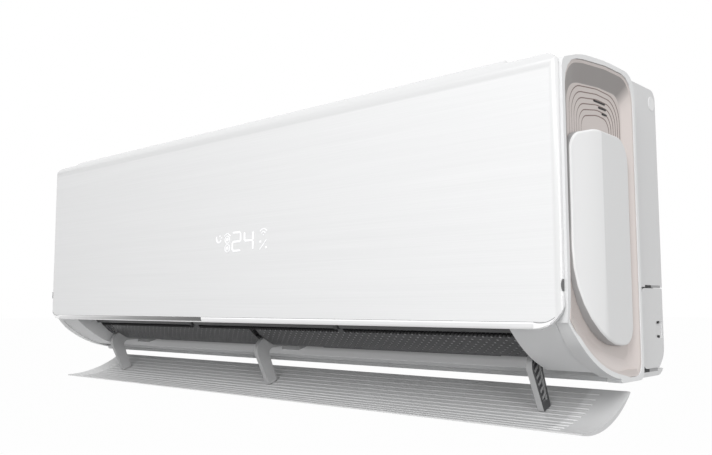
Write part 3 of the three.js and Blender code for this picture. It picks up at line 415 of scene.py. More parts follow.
def addPiece(name, form, node, finish=None, replaced=(), further=()):
    # a finished form becomes an object that rides with a node's body
    mesh = bpy.data.meshes.new(name)
    form.to_mesh(mesh)
    form.free()
    piece = bpy.data.objects.new(name, mesh)
    bpy.context.scene.collection.objects.link(piece)
    for one in (finish or finishes[slotOf[node]], *further):
        mesh.materials.append(one)
    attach(piece, bodyOf[node])
    if replaced:
        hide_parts(*replaced)
    return piece


sharpFrom = {"dish": 24, "pad": 30, "vane": 30, "marks": 40}     # degrees between two faces


def smoothBelow(form, degrees):
    # curved stretches shade smoothly and real edges stay crisp
    for face in form.faces:
        face.smooth = True
    limit = math.radians(degrees)
    for edge in form.edges:
        edge.smooth = len(edge.link_faces) == 2 and edge.calc_face_angle(0) < limit


refineSettings = {
    "merge": 0.00001,
    "flat": 0.6,       # degrees
    "smooth": 32.0,    # degrees
    "corner": 40.0,    # degrees
}


def refined(node, edge=0.0, finish=None, shaped=None, further=(), settings=refineSettings):
    # the node's own shape, with smooth curves and softened edges; shaped changes it first
    form = bmesh.new()
    form.from_mesh(frame["nodes"][node].data)
    bmesh.ops.remove_doubles(form, verts=form.verts, dist=settings["merge"])
    if shaped:
        shaped(form, node)
    bmesh.ops.dissolve_limit(form, angle_limit=math.radians(settings["flat"]), verts=form.verts,
                             edges=form.edges, delimit={"MATERIAL"})
    smoothBelow(form, settings["smooth"])
    piece = addPiece(node + "_fine", form, node, finish, [node], further)
    if edge:
        bevel = piece.modifiers.new("softEdge", "BEVEL")
        bevel.width = edge
        bevel.segments = 2
        bevel.limit_method = "ANGLE"
        bevel.angle_limit = math.radians(settings["corner"])
        bevel.harden_normals = True
        bevel.use_clamp_overlap = True
    return piece


def allOf(form):
    return form.verts[:] + form.edges[:] + form.faces[:]


def trimmed(form, spot, normal):
    # what lies beyond the plane is cut away, and the cut is closed
    cut = bmesh.ops.bisect_plane(form, geom=allOf(form), dist=0.000001, plane_co=spot, plane_no=normal,
                                 clear_outer=True)["geom_cut"]
    bmesh.ops.holes_fill(form, edges=[part for part in cut if isinstance(part, bmesh.types.BMEdge)], sides=0)


cornerSettings = {
    "foot": (-0.110, -1, 0.031),           # level, up or down, and radius of the corner
    "top": (0.158, 1, 0.016),
    "steps": (10, 22, 34, 46, 58, 70),     # degrees from the upright edge
}


def roundedCorners(form, node, settings=cornerSettings):
    # the rounded corners of the front panel, seen from the front
    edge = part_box("front_panel")[1][0]
    for side in (-1, 1):
        for level, up, radius in (settings["foot"], settings["top"]):
            for degrees in settings["steps"]:
                turn = math.radians(degrees)
                normal = Vector((side * math.cos(turn), 0, up * math.sin(turn)))
                centre = Vector((side * (edge - radius), 0, level - up * radius))
                trimmed(form, centre + normal * radius, normal)


pocketSettings = {
    "facing": 0.9,                 # faces that look this far along X belong to the side
    "depth": 0.0012,               # and those deeper than this to the pocket's floor
}


def shadedPocket(form, node, settings=pocketSettings):
    # the ribbed pocket of an arm and the faces around it carry painted shade; on the left and middle arms it
    # faces the other way
    low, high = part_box(node)
    for face in form.faces:
        # painted shade: the pocket's floor, and the side faces around it
        if face.normal.x > settings["facing"]:
            deep = face.calc_center_median().x < high[0] - settings["depth"]
            face.material_index = 1 if deep else 2
    if node != "louver_arm_right":
        bmesh.ops.scale(form, verts=form.verts, vec=(-1, 1, 1))
        bmesh.ops.translate(form, verts=form.verts, vec=(low[0] + high[0], 0, 0))
        bmesh.ops.reverse_faces(form, faces=form.faces)


refined("front_panel", 0.0006, None, roundedCorners)
for place in ("left", "middle", "right"):
    refined("louver_arm_" + place, 0.0004, armFinish, shadedPocket, [pocketShade, armSideShade])


lipSettings = {
    "stretch": (2.0, 20.0, 20.0),
    "above": -0.1564,              # the painted glow starts at this level
    "aboveSoft": 0.0012,
    "ahead": -0.104,               # and ends at this depth
    "aheadSoft": 0.03,
    "paintedGlow": (0.24, 0.24, 0.242),
}


def lipGlowFinish(settings=lipSettings):
    # the outlet floor under the vane glows a little: painted light in place of the light that falls on it
    # through the outlet
    material, shader, wires = newMaterial("outletFloorGlow", {"Emission Strength": 1.0})
    drift = noise(wires, placed(wires, settings["stretch"]), 3.0)
    front = clamped(wires, (axisValue(wires, 2) - settings["above"]) / settings["aboveSoft"])
    rear = clamped(wires, (settings["ahead"] - axisValue(wires, 1)) / settings["aheadSoft"])
    feed(wires, shader, "Base Color", wires.blend(drift, (0.58, 0.585, 0.59), (0.62, 0.625, 0.63)))
    # a weak emission paints light onto the floor under the vane
    feed(wires, shader, "Emission Color", wires.blend(front * rear, (0.0, 0.0, 0.0), settings["paintedGlow"]))
    feed(wires, shader, "Roughness", 0.42 + drift * 0.1)
    grained(wires, shader, 0.08)
    return material


plateSettings = {
    "ends": 0.452,                 # the paler ends start here
    "endSoft": 0.005,
    "front": -0.2195,              # and the paler front edge here
    "frontSoft": 0.002,
}


def plateFinish(settings=plateSettings):
    # the louver plate is paler along its ends and its front edge
    material, shader, wires = newMaterial("louverPlate")
    drift = drifting(wires)
    ends = (wires.maths("ABSOLUTE", axisValue(wires, 0)) - settings["ends"]) / settings["endSoft"]
    front = (settings["front"] - axisValue(wires, 1)) / settings["frontSoft"]
    pale = clamped(wires, wires.maths("MAXIMUM", ends, front))
    grey = wires.blend(drift, (0.52, 0.522, 0.525), (0.56, 0.562, 0.565))
    painted(wires, shader, wires.blend(pale, grey, (0.66, 0.662, 0.665)), 0.36 + drift * 0.08)
    grained(wires, shader, 0.04)
    return material


taperSettings = {
    "front": -0.236,               # only what lies ahead of this moves
    "side": 0.4985,                # and only what lies beyond this moves inwards
    "levels": (-0.072, -0.080, -0.088, -0.095),
    "from": -0.070,
    "full": -0.104,
    "end": -0.135,
    "back": 0.0035,
    "inward": 0.003,
}


def taperedFoot(form, node, settings=taperSettings):
    # the cap's front edge draws back towards the chin
    for level in settings["levels"]:
        bmesh.ops.bisect_plane(form, geom=allOf(form), dist=0.000001, plane_co=(0, 0, level),
                               plane_no=(0, 0, 1))
    for vert in form.verts:
        x, y, z = vert.co
        if y < settings["front"] and settings["end"] < z < settings["from"]:
            full = settings["full"]
            part = (z - settings["from"]) / (full - settings["from"]) if z > full else \
                (z - settings["end"]) / (full - settings["end"])
            ease = part * part
            vert.co.y += settings["back"] * ease
            if abs(x) > settings["side"]:
                vert.co.x -= math.copysign(settings["inward"] * ease, x)


for side in ("left", "right"):
    refined("end_cap_" + side, 0.0016, None, taperedFoot)

# the nodes that keep their own shape, by the start of their names
ownFinishes = {"outlet_lip": lipGlowFinish(), "louver_plate": plateFinish(), "outlet_cheek": cheekFinish,
               "arm_bracket": armFinish}
softEdges = {
    "swing_": 0.0003, "arm_bracket": 0.0003, "vane_hanger": 0.0003, "pipe_cover": 0.0004,
    "outlet_lip": 0.0008, "mounting_plate": 0.0004, "drain_pan": 0.0006, "filter_cassette": 0.0004,
    "fan_motor": 0.001, "fan_bearing": 0.0006, "electrical_box": 0.0008, "electrical_lid": 0.0005,
    "manual_button": 0.0006, "louver_motor": 0.0006, "inner_vane_motor": 0.0006,
}
shapedApart = ("louver_arm", "end_cap", "side_", "front_panel", "panel_lip")


def byStart(table, node, other):
    return next((value for start, value in table.items() if node.startswith(start)), other)


for node in frame["nodes"]:
    if node != "inner_vane" and not node.startswith(shapedApart):
        refined(node, byStart(softEdges, node, 0.0), byStart(ownFinishes, node, None))
print("fine pieces ready")


def outlineFace(form, corners, across, turned=None):
    # a face in the YZ plane from corners (y, z, radius); the last corner may turn about a centre
    corner = [form.verts.new((across, *spot[:2])) for spot in corners]
    loop = list(corner)
    for start, end in zip(corner, corner[1:]):
        form.edges.new((start, end))
    if turned:
        bmesh.ops.spin(form, geom=[corner[-1]], cent=(across, *turned["centre"]), axis=(1, 0, 0),
                       angle=math.radians(turned["degrees"]), steps=turned["steps"])
        while len(corner[-1].link_edges) > 1 and len(loop) < len(corner) + turned["steps"]:
            last = loop[-1]
            loop.append(next(edge.other_vert(last) for edge in last.link_edges
                             if edge.other_vert(last) not in loop))
    others = set(form.faces)
    form.faces.new(loop)
    for vert, spot in zip(corner, corners):
        if len(spot) > 2:
            before, after = [edge.other_vert(vert).co - vert.co for edge in vert.link_edges]
            reach = spot[2] / math.tan(before.angle(after) / 2)
            bmesh.ops.bevel(form, geom=[vert], offset=reach, affect="VERTICES", segments=8,
                            profile=0.5, material=-1)
    face = next(one for one in form.faces if one not in others)
    face.normal_update()
    if face.normal.x < 0:
        face.normal_flip()
    return face


def pushed(form, face, distance):
    # the face moves along X and leaves walls behind it
    made = bmesh.ops.extrude_face_region(form, geom=[face])["geom"]
    top = [part for part in made if isinstance(part, bmesh.types.BMFace)]
    bmesh.ops.translate(form, verts=[part for part in made if isinstance(part, bmesh.types.BMVert)],
                        vec=(distance, 0, 0))
    return top[0]


def inset(form, face, steps):
    # successive insets: (width, rise) in metres
    for width, rise in steps:
        bmesh.ops.inset_region(form, faces=[face], thickness=width, depth=rise, use_even_offset=True)


def closed(form, side, smooth=None):
    # outward normals, the mirror image for the left side, and smooth shading where a kind is named
    if side == "left":
        bmesh.ops.scale(form, verts=form.verts, vec=(-1, 1, 1))
    bmesh.ops.remove_doubles(form, verts=form.verts, dist=0.000001)
    bmesh.ops.recalc_face_normals(form, faces=form.faces)
    if smooth:
        smoothBelow(form, sharpFrom[smooth])


def rod(form, length, radius, segments, turn, axis, spot):
    # a cylinder that is turned about X or Y and then placed
    made = bmesh.ops.create_cone(form, cap_ends=True, segments=segments, radius1=radius, radius2=radius,
                                 depth=length)["verts"]
    bmesh.ops.rotate(form, verts=made, cent=(0, 0, 0), matrix=Matrix.Rotation(turn, 3, axis))
    bmesh.ops.translate(form, verts=made, vec=spot)


def rodAlong(form, x0, x1, y, z, radius, segments):
    rod(form, x1 - x0, radius, segments, math.pi / 2, "Y", ((x0 + x1) / 2, y, z))


def block(form, low, high, edge):
    # a box between two corners, with rounded edges
    made = bmesh.ops.create_cube(form, size=1.0)["verts"]
    bmesh.ops.scale(form, verts=made, vec=[b - a for a, b in zip(low, high)])
    bmesh.ops.translate(form, verts=made, vec=[(a + b) / 2 for a, b in zip(low, high)])
    edges = list({one for vert in made for one in vert.link_edges})
    bmesh.ops.bevel(form, geom=edges, offset=edge, affect="EDGES", segments=2, profile=0.5, material=-1)


dishSettings = {
    "front": -0.2505,
    "rear": -0.094,
    "foot": -0.162,
    "frontCorner": (0.152, 0.030),         # level and radius of the top's front corner
    "crown": [(-0.210, 0.159, 0.060), (-0.160, 0.1635, 0.060)],
    "rearCorner": (0.1635, 0.028),
    "footRadius": 0.014,
    "chinCentre": (-0.119, 0.016),
    "chinRadius": 0.1755,
    "chinEnd": 258.5,              # degrees, where the chin arc meets the foot
    "chinSteps": 26,
    "slope": [(0.0, 0.0), (0.0012, 0.0), (0.0026, -0.0006), (0.0160, -0.0069), (0.0172, -0.0075),
              (0.0180, -0.0077)],
    "bevelFrom": 0.0026,           # past this growth the slope has the bevel's finish, with its painted light and shade
    "topGrow": 1.2,                # the bevel is wider along the top and narrower at the rear
    "rearGrow": 0.78,
    "ringFoot": 0.0615,            # the rings end here, behind the pad
    "ringCorners": [(-0.2272, 0.1335), (-0.1102, 0.1385)],
    "ringCrown": (-0.165, 0.0015, 0.05),   # depth, rise over the rear corner, and radius
    "ringRadius": 0.027,
    "ringPitch": 0.0052,
    "ringRise": 1.08,              # growth of the top for each unit of growth at the sides
    "ringFootRise": 0.9,
    "rings": 6,
    "riser": (0.0010, -0.0002),    # width and drop of each step
    "treadRise": 0.0001,
    "openings": [(-0.172, -0.1455, 0.1262), (-0.161, -0.1435, 0.1206), (-0.153, -0.142, 0.1150)],
    "openingHeight": 0.0020,
    "openingDeep": 0.0030,
    "openingProud": 0.0005,
    "openingEdge": 0.0007,
    "sillSunk": 0.0001,
    "sill": [(-0.160, -0.1545), (-0.105, -0.1545), (-0.105, -0.162), (-0.146, -0.162)],
}


def dishLoop(form, grow, across, settings):
    # one outline of the dish, grown inwards
    y, z = settings["chinCentre"]
    radius = settings["chinRadius"] - grow
    foot = settings["foot"] + grow
    front = settings["front"] + grow
    rear = settings["rear"] - grow * settings["rearGrow"]
    down = grow * settings["topGrow"]
    end = math.radians(settings["chinEnd"])
    meet = (y + radius * math.cos(end), z + radius * math.sin(end))
    slide = (foot - meet[1]) / math.cos(end)
    frontLevel, frontRadius = settings["frontCorner"]
    rearLevel, rearRadius = settings["rearCorner"]
    corners = [(front, frontLevel - down, frontRadius - grow / 2),
               *((depth, level - down, bend) for depth, level, bend in settings["crown"]),
               (rear, rearLevel - down, rearRadius - grow / 2),
               (rear, foot, settings["footRadius"]), (meet[0] - slide * math.sin(end), foot), meet]
    start = 180 + math.degrees(math.acos((y - front) / radius))
    turned = {"centre": settings["chinCentre"], "degrees": start - settings["chinEnd"],
              "steps": settings["chinSteps"]}
    return outlineFace(form, corners, across, turned)


def ringLoop(form, grow, across, settings):
    # one inverted U of the rings; its foot is hidden by the pad
    (front, frontTop), (rear, rearTop) = settings["ringCorners"]
    middle, rise, bend = settings["ringCrown"]
    radius = settings["ringRadius"] - grow / 2
    foot = settings["ringFoot"] + grow * settings["ringFootRise"]
    down = grow * settings["ringRise"]
    corners = [(front + grow, frontTop - down, radius), (middle, rearTop + rise - down, bend),
               (rear - grow, rearTop - down, radius), (rear - grow, foot), (front + grow, foot)]
    return outlineFace(form, corners, across)


def rimOf(form, face):
    # the edges of a face, once the face itself is taken out
    edges = list(face.edges)
    bmesh.ops.delete(form, geom=[face], context="FACES_ONLY")
    return edges


bevelSettings = {
    "light": (0.68, 0.62, 0.597),
    "dark": (0.31, 0.288, 0.28),
    "level": 0.137,                # the shade turns here, along a slanting line
    "rear": -0.113,
    "slant": 1.2,
    "soft": 0.022,
}


def bevelFinish(settings=bevelSettings):
    # the bevel lies in shade along the top and front, and catches light at the rear and below
    material, shader, wires = newMaterial("bevelChampagne")
    drift = drifting(wires)
    above = (axisValue(wires, 2) - settings["level"]) / settings["soft"]
    ahead = (axisValue(wires, 1) - settings["rear"]) * (settings["slant"] / settings["soft"])
    mask = clamped(wires, above - ahead + 0.5)
    painted(wires, shader, wires.blend(mask, settings["light"], settings["dark"]), 0.34 + drift * 0.1)
    grained(wires, shader, 0.05)
    return material


bevelChampagne = bevelFinish()


def sideDish(side, settings=dishSettings):
    low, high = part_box("side_dish_right")
    form = bmesh.new()
    back = list(dishLoop(form, 0.0, low[0], settings).edges)
    for grow, rise in settings["slope"]:
        rim = rimOf(form, dishLoop(form, grow, high[0] + rise, settings))
        for face in bmesh.ops.bridge_loops(form, edges=back + rim)["faces"]:
            face.material_index = 2 if grow > settings["bevelFrom"] else 0
        back = rim
    floor = high[0] + settings["slope"][-1][1]
    outer = rimOf(form, ringLoop(form, 0.0, floor, settings))
    bmesh.ops.triangle_fill(form, edges=back + outer, use_beauty=True, normal=(1, 0, 0))
    width, drop = settings["riser"]
    for step in range(settings["rings"]):
        start = settings["ringPitch"] * step
        level = floor + (drop + settings["treadRise"]) * step + drop
        for grow, face, line in ((start + width, level, 1),
                                 (start + settings["ringPitch"], level + settings["treadRise"], 0)):
            made = ringLoop(form, grow, face, settings)
            innermost = step == settings["rings"] - 1 and not line
            rim = list(made.edges) if innermost else rimOf(form, made)
            for band in bmesh.ops.bridge_loops(form, edges=outer + rim)["faces"]:
                # the risers take the painted shade of the ring lines
                band.material_index = line
            outer = rim
    pushed(form, outlineFace(form, settings["sill"], low[0]), high[0] - low[0] - settings["sillSunk"])
    closed(form, side, "dish")
    addPiece("side_dish_" + side + "_rings", form, "side_dish_" + side, None, ["side_dish_" + side],
             [ringShadeLine, bevelChampagne])


def dishOpenings(side, settings=dishSettings):
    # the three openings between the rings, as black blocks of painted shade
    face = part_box("side_dish_right")[1][0] + settings["slope"][-1][1]
    form = bmesh.new()
    half = settings["openingHeight"] / 2
    for front, rear, level in settings["openings"]:
        block(form, (face - settings["openingDeep"], front, level - half),
              (face + settings["openingProud"], rear, level + half), settings["openingEdge"])
    closed(form, side, "dish")
    addPiece("dish_openings_" + side, form, "side_dish_" + side, slotBlack)


padSettings = {
    "corners": [(-0.238, 0.0805, 0.020), (-0.193, 0.0912, 0.075), (-0.1075, 0.0925, 0.028),
                (-0.1075, -0.129, 0.022), (-0.238, -0.129, 0.097)],
    "edge": 0.0024,                # radius of the rounded edge
    "edgeSteps": 4,
    "crease": -0.181,
    "crown": 0.27,                 # radius of the front part
    "slope": 0.066,                # fall of the flatter rear part
    "strip": 0.006,                # the face is cut into strips this wide, so that it can bend
    "stripsFrom": -0.229,
    "stripsTo": -0.115,
    "drift": 7.0,
    "softFrom": -0.03,             # below this level the change of shade at the crease widens
    "softGrow": 0.14,
    "softLeast": 0.0005,
}


def padFinish(settings=padSettings):
    # satin white; the rear part past the crease has painted shade and reads a shade darker
    material, shader, wires = newMaterial("padWhiteShaded", {"Coat Weight": 0.2, "Coat Roughness": 0.2})
    drift = noise(wires, placed(wires), settings["drift"])
    below = (settings["softFrom"] - axisValue(wires, 2)) * settings["softGrow"]
    soft = wires.maths("MAXIMUM", below, 0.0) + settings["softLeast"]
    rear = clamped(wires, (axisValue(wires, 1) - settings["crease"]) / soft + 0.5)
    light = wires.blend(drift, (0.87, 0.872, 0.875), (0.90, 0.902, 0.905))
    # painted shade on the rear part past the crease
    painted(wires, shader, wires.blend(rear, light, (0.745, 0.748, 0.75)), 0.3 + drift * 0.08)
    grained(wires, shader, 0.03)
    return material


def sidePad(side, finish, settings=padSettings):
    low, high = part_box("side_pad_right")
    form = bmesh.new()
    edge, steps = settings["edge"], settings["edgeSteps"]
    front = pushed(form, outlineFace(form, settings["corners"], low[0]), high[0] - edge - low[0])
    turns = [math.pi / 2 * step / steps for step in range(steps + 1)]
    inset(form, front, [(edge * (math.cos(a) - math.cos(b)), edge * (math.sin(b) - math.sin(a)))
                        for a, b in zip(turns, turns[1:])])
    spot = settings["stripsFrom"]
    while spot < settings["stripsTo"]:
        parts = [part for face in form.faces if face.normal.x > 0.99 or face == front
                 for part in (face, *face.edges, *face.verts)]
        bmesh.ops.bisect_plane(form, geom=list(set(parts)), dist=0.00001, plane_co=(0, spot, 0),
                               plane_no=(0, 1, 0))
        spot += settings["strip"]
    for vert in form.verts:
        behind = vert.co.y - settings["crease"]
        fall = behind * settings["slope"] if behind > 0 else behind ** 2 / (2 * settings["crown"])
        vert.co.x -= fall * min(1.0, (vert.co.x - low[0]) / (high[0] - edge - low[0]))
    closed(form, "right")
    for face in form.faces:
        # the side walls take painted shade, as they stand in the dark of the recess
        face.material_index = 1 if face.normal.x < 0.2 else 0
    closed(form, side, "pad")
    pad = addPiece("side_pad_" + side + "_dome", form, "side_pad_" + side, finish, ["side_pad_" + side],
                   [padWallShade])
    pad.modifiers.new("evenNormals", "WEIGHTED_NORMAL").keep_sharp = True


padWhiteShaded = padFinish()
for side in ("left", "right"):
    sideDish(side)
    dishOpenings(side)
    sidePad(side, padWhiteShaded)
print("side dishes and pads ready")


stripSettings = {
    "reflectionFrom": -0.464,
    "reflectionTo": -0.0576,
    "reflectionFoot": -0.1084,
    "darkReflection": [(0.0, 0.90), (0.25, 0.62), (0.6, 0.22), (1.0, 0.05)],
    "grain": 60.0,
}


def stripFinish(settings=stripSettings):
    # bright polished plastic, with a painted dark reflection over its left part that deepens towards its
    # inner end
    material, shader, wires = newMaterial("polishedLipStrip", {"Coat Weight": 0.9, "Coat Roughness": 0.05})
    along = axisValue(wires, 0)
    inside = (along > settings["reflectionFrom"]) * (along < settings["reflectionTo"])
    # the painted reflection covers the upper part of the strip between these ends
    mask = inside * (axisValue(wires, 2) > settings["reflectionFoot"])
    depth = (along - settings["reflectionFrom"]) / (settings["reflectionTo"] - settings["reflectionFrom"])
    darkReflection = clamped(wires, depth).ramp(settings["darkReflection"])
    painted(wires, shader, wires.blend(mask, (0.95, 0.95, 0.955), darkReflection), 0.16 - mask * 0.08)
    grained(wires, shader, 0.02, settings["grain"])
    return material


stripPlastic = stripFinish()
refined("panel_lip_strip", 0.0005, stripPlastic, roundedCorners)


scoopSettings = {
    "proud": 0.0003,
    "radius": 0.0305,              # follows the panel's lower corner
    "stroke": 0.0062,
    "narrowing": 0.85,             # share of the stroke that is lost by the upper end
    # a thin line of painted shade along the inner edge of the strip's end
    "shadeLineProud": 0.00035,
    "crease": 0.0007,
    "from": -92,                   # degrees
    "sweep": 50,
    "steps": 14,
}
notchSettings = {
    "level": -0.068,
    "radius": 0.0098,
    "outside": 0.0068,             # from the panel's edge to the notch's centre
    "inside": 0.0012,              # the shade ends this far inside the panel's edge
    "behind": 0.0034,
    "thick": 0.003,
    "sides": 48,
}


def cornerArc(form, front, corner, radius, stroke, shaped, settings):
    # an arc at the panel's lower corner; shaped gives each point's new radius from its own and its progress
    ring(form, front, corner, radius, stroke, settings["from"], settings["sweep"], settings["steps"])
    for vert in form.verts:
        x, z = vert.co.x - corner[0], vert.co.z - corner[1]
        own = math.hypot(x, z)
        along = (math.degrees(math.atan2(z, x)) - settings["from"]) / settings["sweep"]
        grown = shaped(own, along) / own
        vert.co.x, vert.co.z = corner[0] + x * grown, corner[1] + z * grown


def panelMarks(side, settings=scoopSettings, notch=notchSettings):
    # the strip's upturned end with a thin line of painted shade along it, and the painted shade in the
    # finger notch
    low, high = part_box("front_panel")
    corner = (high[0] - cornerSettings["foot"][2], low[2] + cornerSettings["foot"][2])
    outer, stroke, narrowing = settings["radius"], settings["stroke"], settings["narrowing"]
    form = bmesh.new()
    cornerArc(form, low[1] - settings["proud"], corner, outer - stroke / 2, stroke,
              lambda own, along: outer - (outer - own) * (1 - along * narrowing), settings)
    closed(form, side, "marks")
    addPiece("strip_end_" + side, form, "panel_lip_strip", stripPlastic)
    # a thin grey line of painted shade along the upturned end
    form = bmesh.new()
    cornerArc(form, low[1] - settings["shadeLineProud"], corner, outer - stroke, settings["crease"],
              lambda own, along: own + stroke * narrowing * along, settings)
    closed(form, side)
    addPiece("strip_crease_" + side, form, "panel_lip_strip", paleSlot)
    form = bmesh.new()
    # a dark lens of painted shade fills the finger notch
    rod(form, notch["thick"], notch["radius"], notch["sides"], math.pi / 2, "X",
        (high[0] + notch["outside"], low[1] + notch["behind"], notch["level"]))
    trimmed(form, Vector((high[0] - notch["inside"], 0, 0)), Vector((1, 0, 0)))
    closed(form, side, "marks")
    addPiece("finger_notch_" + side, form, "front_panel", notchShade)


displaySettings = {
    "sunk": 0.0002,                # the marks' middle stands this far ahead of the panel
    "stroke": 0.0021,
    "gap": 0.75,                   # between two strokes of a digit, as a share of the stroke
    "places": (0.0098, 0.0352),
    "width": 0.0172,
    "top": 0.0112,
    "foot": -0.0134,
    "glow": 0.25,
    "iconGlow": 0.12,
    "shown": (("top", "upperRight", "middle", "lowerLeft", "foot"),
              ("upperLeft", "middle", "upperRight", "lowerRight")),
}
# each icon's place on the panel; its rings: offset x, z, radius, stroke, start, sweep, steps; and its
# bars: two offsets x, z and the stroke
iconSettings = [
    ((0.0735, 0.0080), [(0, -0.0040, 0.0009, 0.0013, 40, 100, 8), (0, -0.0040, 0.0048, 0.0013, 40, 100, 8),
                        (0, -0.0040, 0.0088, 0.0013, 40, 100, 8)], []),
    ((0.0730, -0.0078), [(-0.0056, 0.0040, 0.0010, 0.0012, 0, 360, 10),
                         (0.0056, -0.0040, 0.0010, 0.0012, 0, 360, 10)],
     [((-0.0066, -0.0062), (0.0066, 0.0062), 0.0013)]),
    ((-0.0200, 0.0046), [(0, 0, 0.0052, 0.0019, 150, 190, 14), (0.0026, 0.0036, 0.0007, 0.0010, 0, 360, 10),
                         (0.0058, 0.0012, 0.0006, 0.0009, 0, 360, 10)], []),
    ((-0.0012, 0.0046), [(0, -0.0020, 0.0050, 0.0010, 0, 360, 24), (0, -0.0020, 0.0016, 0.0018, 0, 360, 16)],
     [((-0.0066, 0.0030), (-0.0006, 0.0068), 0.0010), ((0.0066, 0.0030), (0.0006, 0.0068), 0.0010)]),
    ((-0.0012, -0.0092), [(0, 0, 0.0054, 0.0011, 0, 360, 8), (0, 0, 0.0014, 0.0018, 0, 360, 12)], []),
]


def litMarks(name, glow):
    material, shader, wires = newMaterial(name, {"Emission Strength": glow, "Roughness": 0.3})
    drift = noise(wires, placed(wires), 200.0, 1.0)
    feed(wires, shader, "Base Color", wires.blend(drift, (0.93, 0.93, 0.94), (0.96, 0.96, 0.97)))
    feed(wires, shader, "Emission Color", wires.blend(drift, (0.92, 0.94, 0.96), (1.0, 1.0, 1.0)))
    return material


def bar(form, front, ends, stroke):
    # a flat stroke with rounded ends between two points of the panel
    (x0, z0), (x1, z1) = ends
    length = math.hypot(x1 - x0, z1 - z0)
    made = bmesh.ops.create_cube(form, size=1.0)["verts"]
    bmesh.ops.scale(form, verts=made, vec=(length + stroke * 0.6, 0.0004, stroke))
    upright = [one for one in {edge for vert in made for edge in vert.link_edges}
               if abs((one.verts[0].co - one.verts[1].co).y) > 0.0003]
    made = bmesh.ops.bevel(form, geom=upright, offset=stroke * 0.42, affect="EDGES", segments=3, profile=0.5,
                           material=-1)["verts"] + [vert for vert in made if vert.is_valid]
    made = list(set(made))
    turn = Matrix.Rotation(-math.atan2(z1 - z0, x1 - x0), 3, "Y")
    bmesh.ops.rotate(form, verts=made, cent=(0, 0, 0), matrix=turn)
    bmesh.ops.translate(form, verts=made, vec=((x0 + x1) / 2, front, (z0 + z1) / 2))


def ring(form, front, centre, radius, stroke, start, sweep, steps):
    # an arc of even stroke, spun from a small upright rectangle
    x, z = centre
    begin = math.radians(start)
    inner, outer = radius - stroke / 2, radius + stroke / 2
    corners = ((inner, -0.0002), (outer, -0.0002), (outer, 0.0002), (inner, 0.0002))
    face = form.faces.new([form.verts.new((x + r * math.cos(begin), front + y, z + r * math.sin(begin)))
                           for r, y in corners])
    full = abs(sweep) >= 360
    bmesh.ops.spin(form, geom=[face, *face.edges, *face.verts], cent=(x, front, z), axis=(0, -1, 0),
                   angle=math.radians(sweep), steps=steps, use_merge=full)
    if full:
        bmesh.ops.delete(form, geom=[face], context="FACES_ONLY")


def digit(form, front, left, shown, settings):
    # a figure of seven strokes, of which some are shown
    right = left + settings["width"]
    top, foot = settings["top"], settings["foot"]
    middle = (top + foot) / 2
    gap = settings["stroke"] * settings["gap"]
    strokes = {
        "top": ((left + gap, top), (right - gap, top)),
        "middle": ((left + gap, middle), (right - gap, middle)),
        "foot": ((left + gap, foot), (right - gap, foot)),
        "upperLeft": ((left, top - gap), (left, middle + gap)),
        "upperRight": ((right, top - gap), (right, middle + gap)),
        "lowerLeft": ((left, middle - gap), (left, foot + gap)),
        "lowerRight": ((right, middle - gap), (right, foot + gap)),
    }
    for name in shown:
        bar(form, front, strokes[name], settings["stroke"])


def display(settings=displaySettings):
    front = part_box("front_panel")[0][1] - settings["sunk"]
    form = bmesh.new()
    for left, shown in zip(settings["places"], settings["shown"]):
        digit(form, front, left, shown, settings)
    closed(form, "right")
    addPiece("display_digits", form, "front_panel", litMarks("litMarks", settings["glow"]))
    form = bmesh.new()
    for (x, z), rings, bars in iconSettings:
        for right, up, *rest in rings:
            ring(form, front, (x + right, z + up), *rest)
        for (x0, z0), (x1, z1), stroke in bars:
            bar(form, front, ((x + x0, z + z0), (x + x1, z + z1)), stroke)
    closed(form, "right")
    addPiece("display_icons", form, "front_panel", litMarks("faintMarks", settings["iconGlow"]))


display()
for side in ("left", "right"):
    panelMarks(side)
print("panel display ready")


chassisSettings = {
    "proud": 0.0003,
    "deep": 0.0012,
    "edge": 0.0003,
    "plugProud": 0.00045,
    "slots": [((-0.0495, -0.033), (-0.0672, -0.0642)), ((-0.062, -0.046), (-0.1622, -0.1590)),
              ((-0.0175, -0.0125), (-0.1085, -0.1055)), ((-0.0175, -0.0125), (-0.1250, -0.1220))],
    "pale": [((-0.033, -0.0068), (-0.0672, -0.0642)), ((-0.046, -0.022), (-0.1622, -0.1590))],
    "plug": (-0.0120, 0.1530, 0.0085),
    "plugSides": 40,
}


def chassisMarks(side, settings=chassisSettings):
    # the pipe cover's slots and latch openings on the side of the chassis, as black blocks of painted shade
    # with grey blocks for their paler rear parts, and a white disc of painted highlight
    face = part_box("rear_chassis")[1][0]
    # black blocks of painted shade inside the slots, and grey blocks for their paler rear parts
    for name, finish in (("slots", slotBlack), ("pale", paleSlot)):
        form = bmesh.new()
        for (front, rear), (foot, top) in settings[name]:
            block(form, (face - settings["deep"], front, foot), (face + settings["proud"], rear, top),
                  settings["edge"])
        closed(form, side)
        addPiece("cover_" + name + "_" + side, form, "rear_chassis", finish)
    # a white disc of painted highlight near the chassis's top rear corner
    form = bmesh.new()
    y, z, radius = settings["plug"]
    rodAlong(form, face - settings["deep"], face + settings["plugProud"], y, z, radius,
             settings["plugSides"])
    closed(form, side, "marks")
    addPiece("side_plug_" + side, form, "rear_chassis", plugHighlight)


for side in ("left", "right"):
    chassisMarks(side)
print("chassis marks ready")


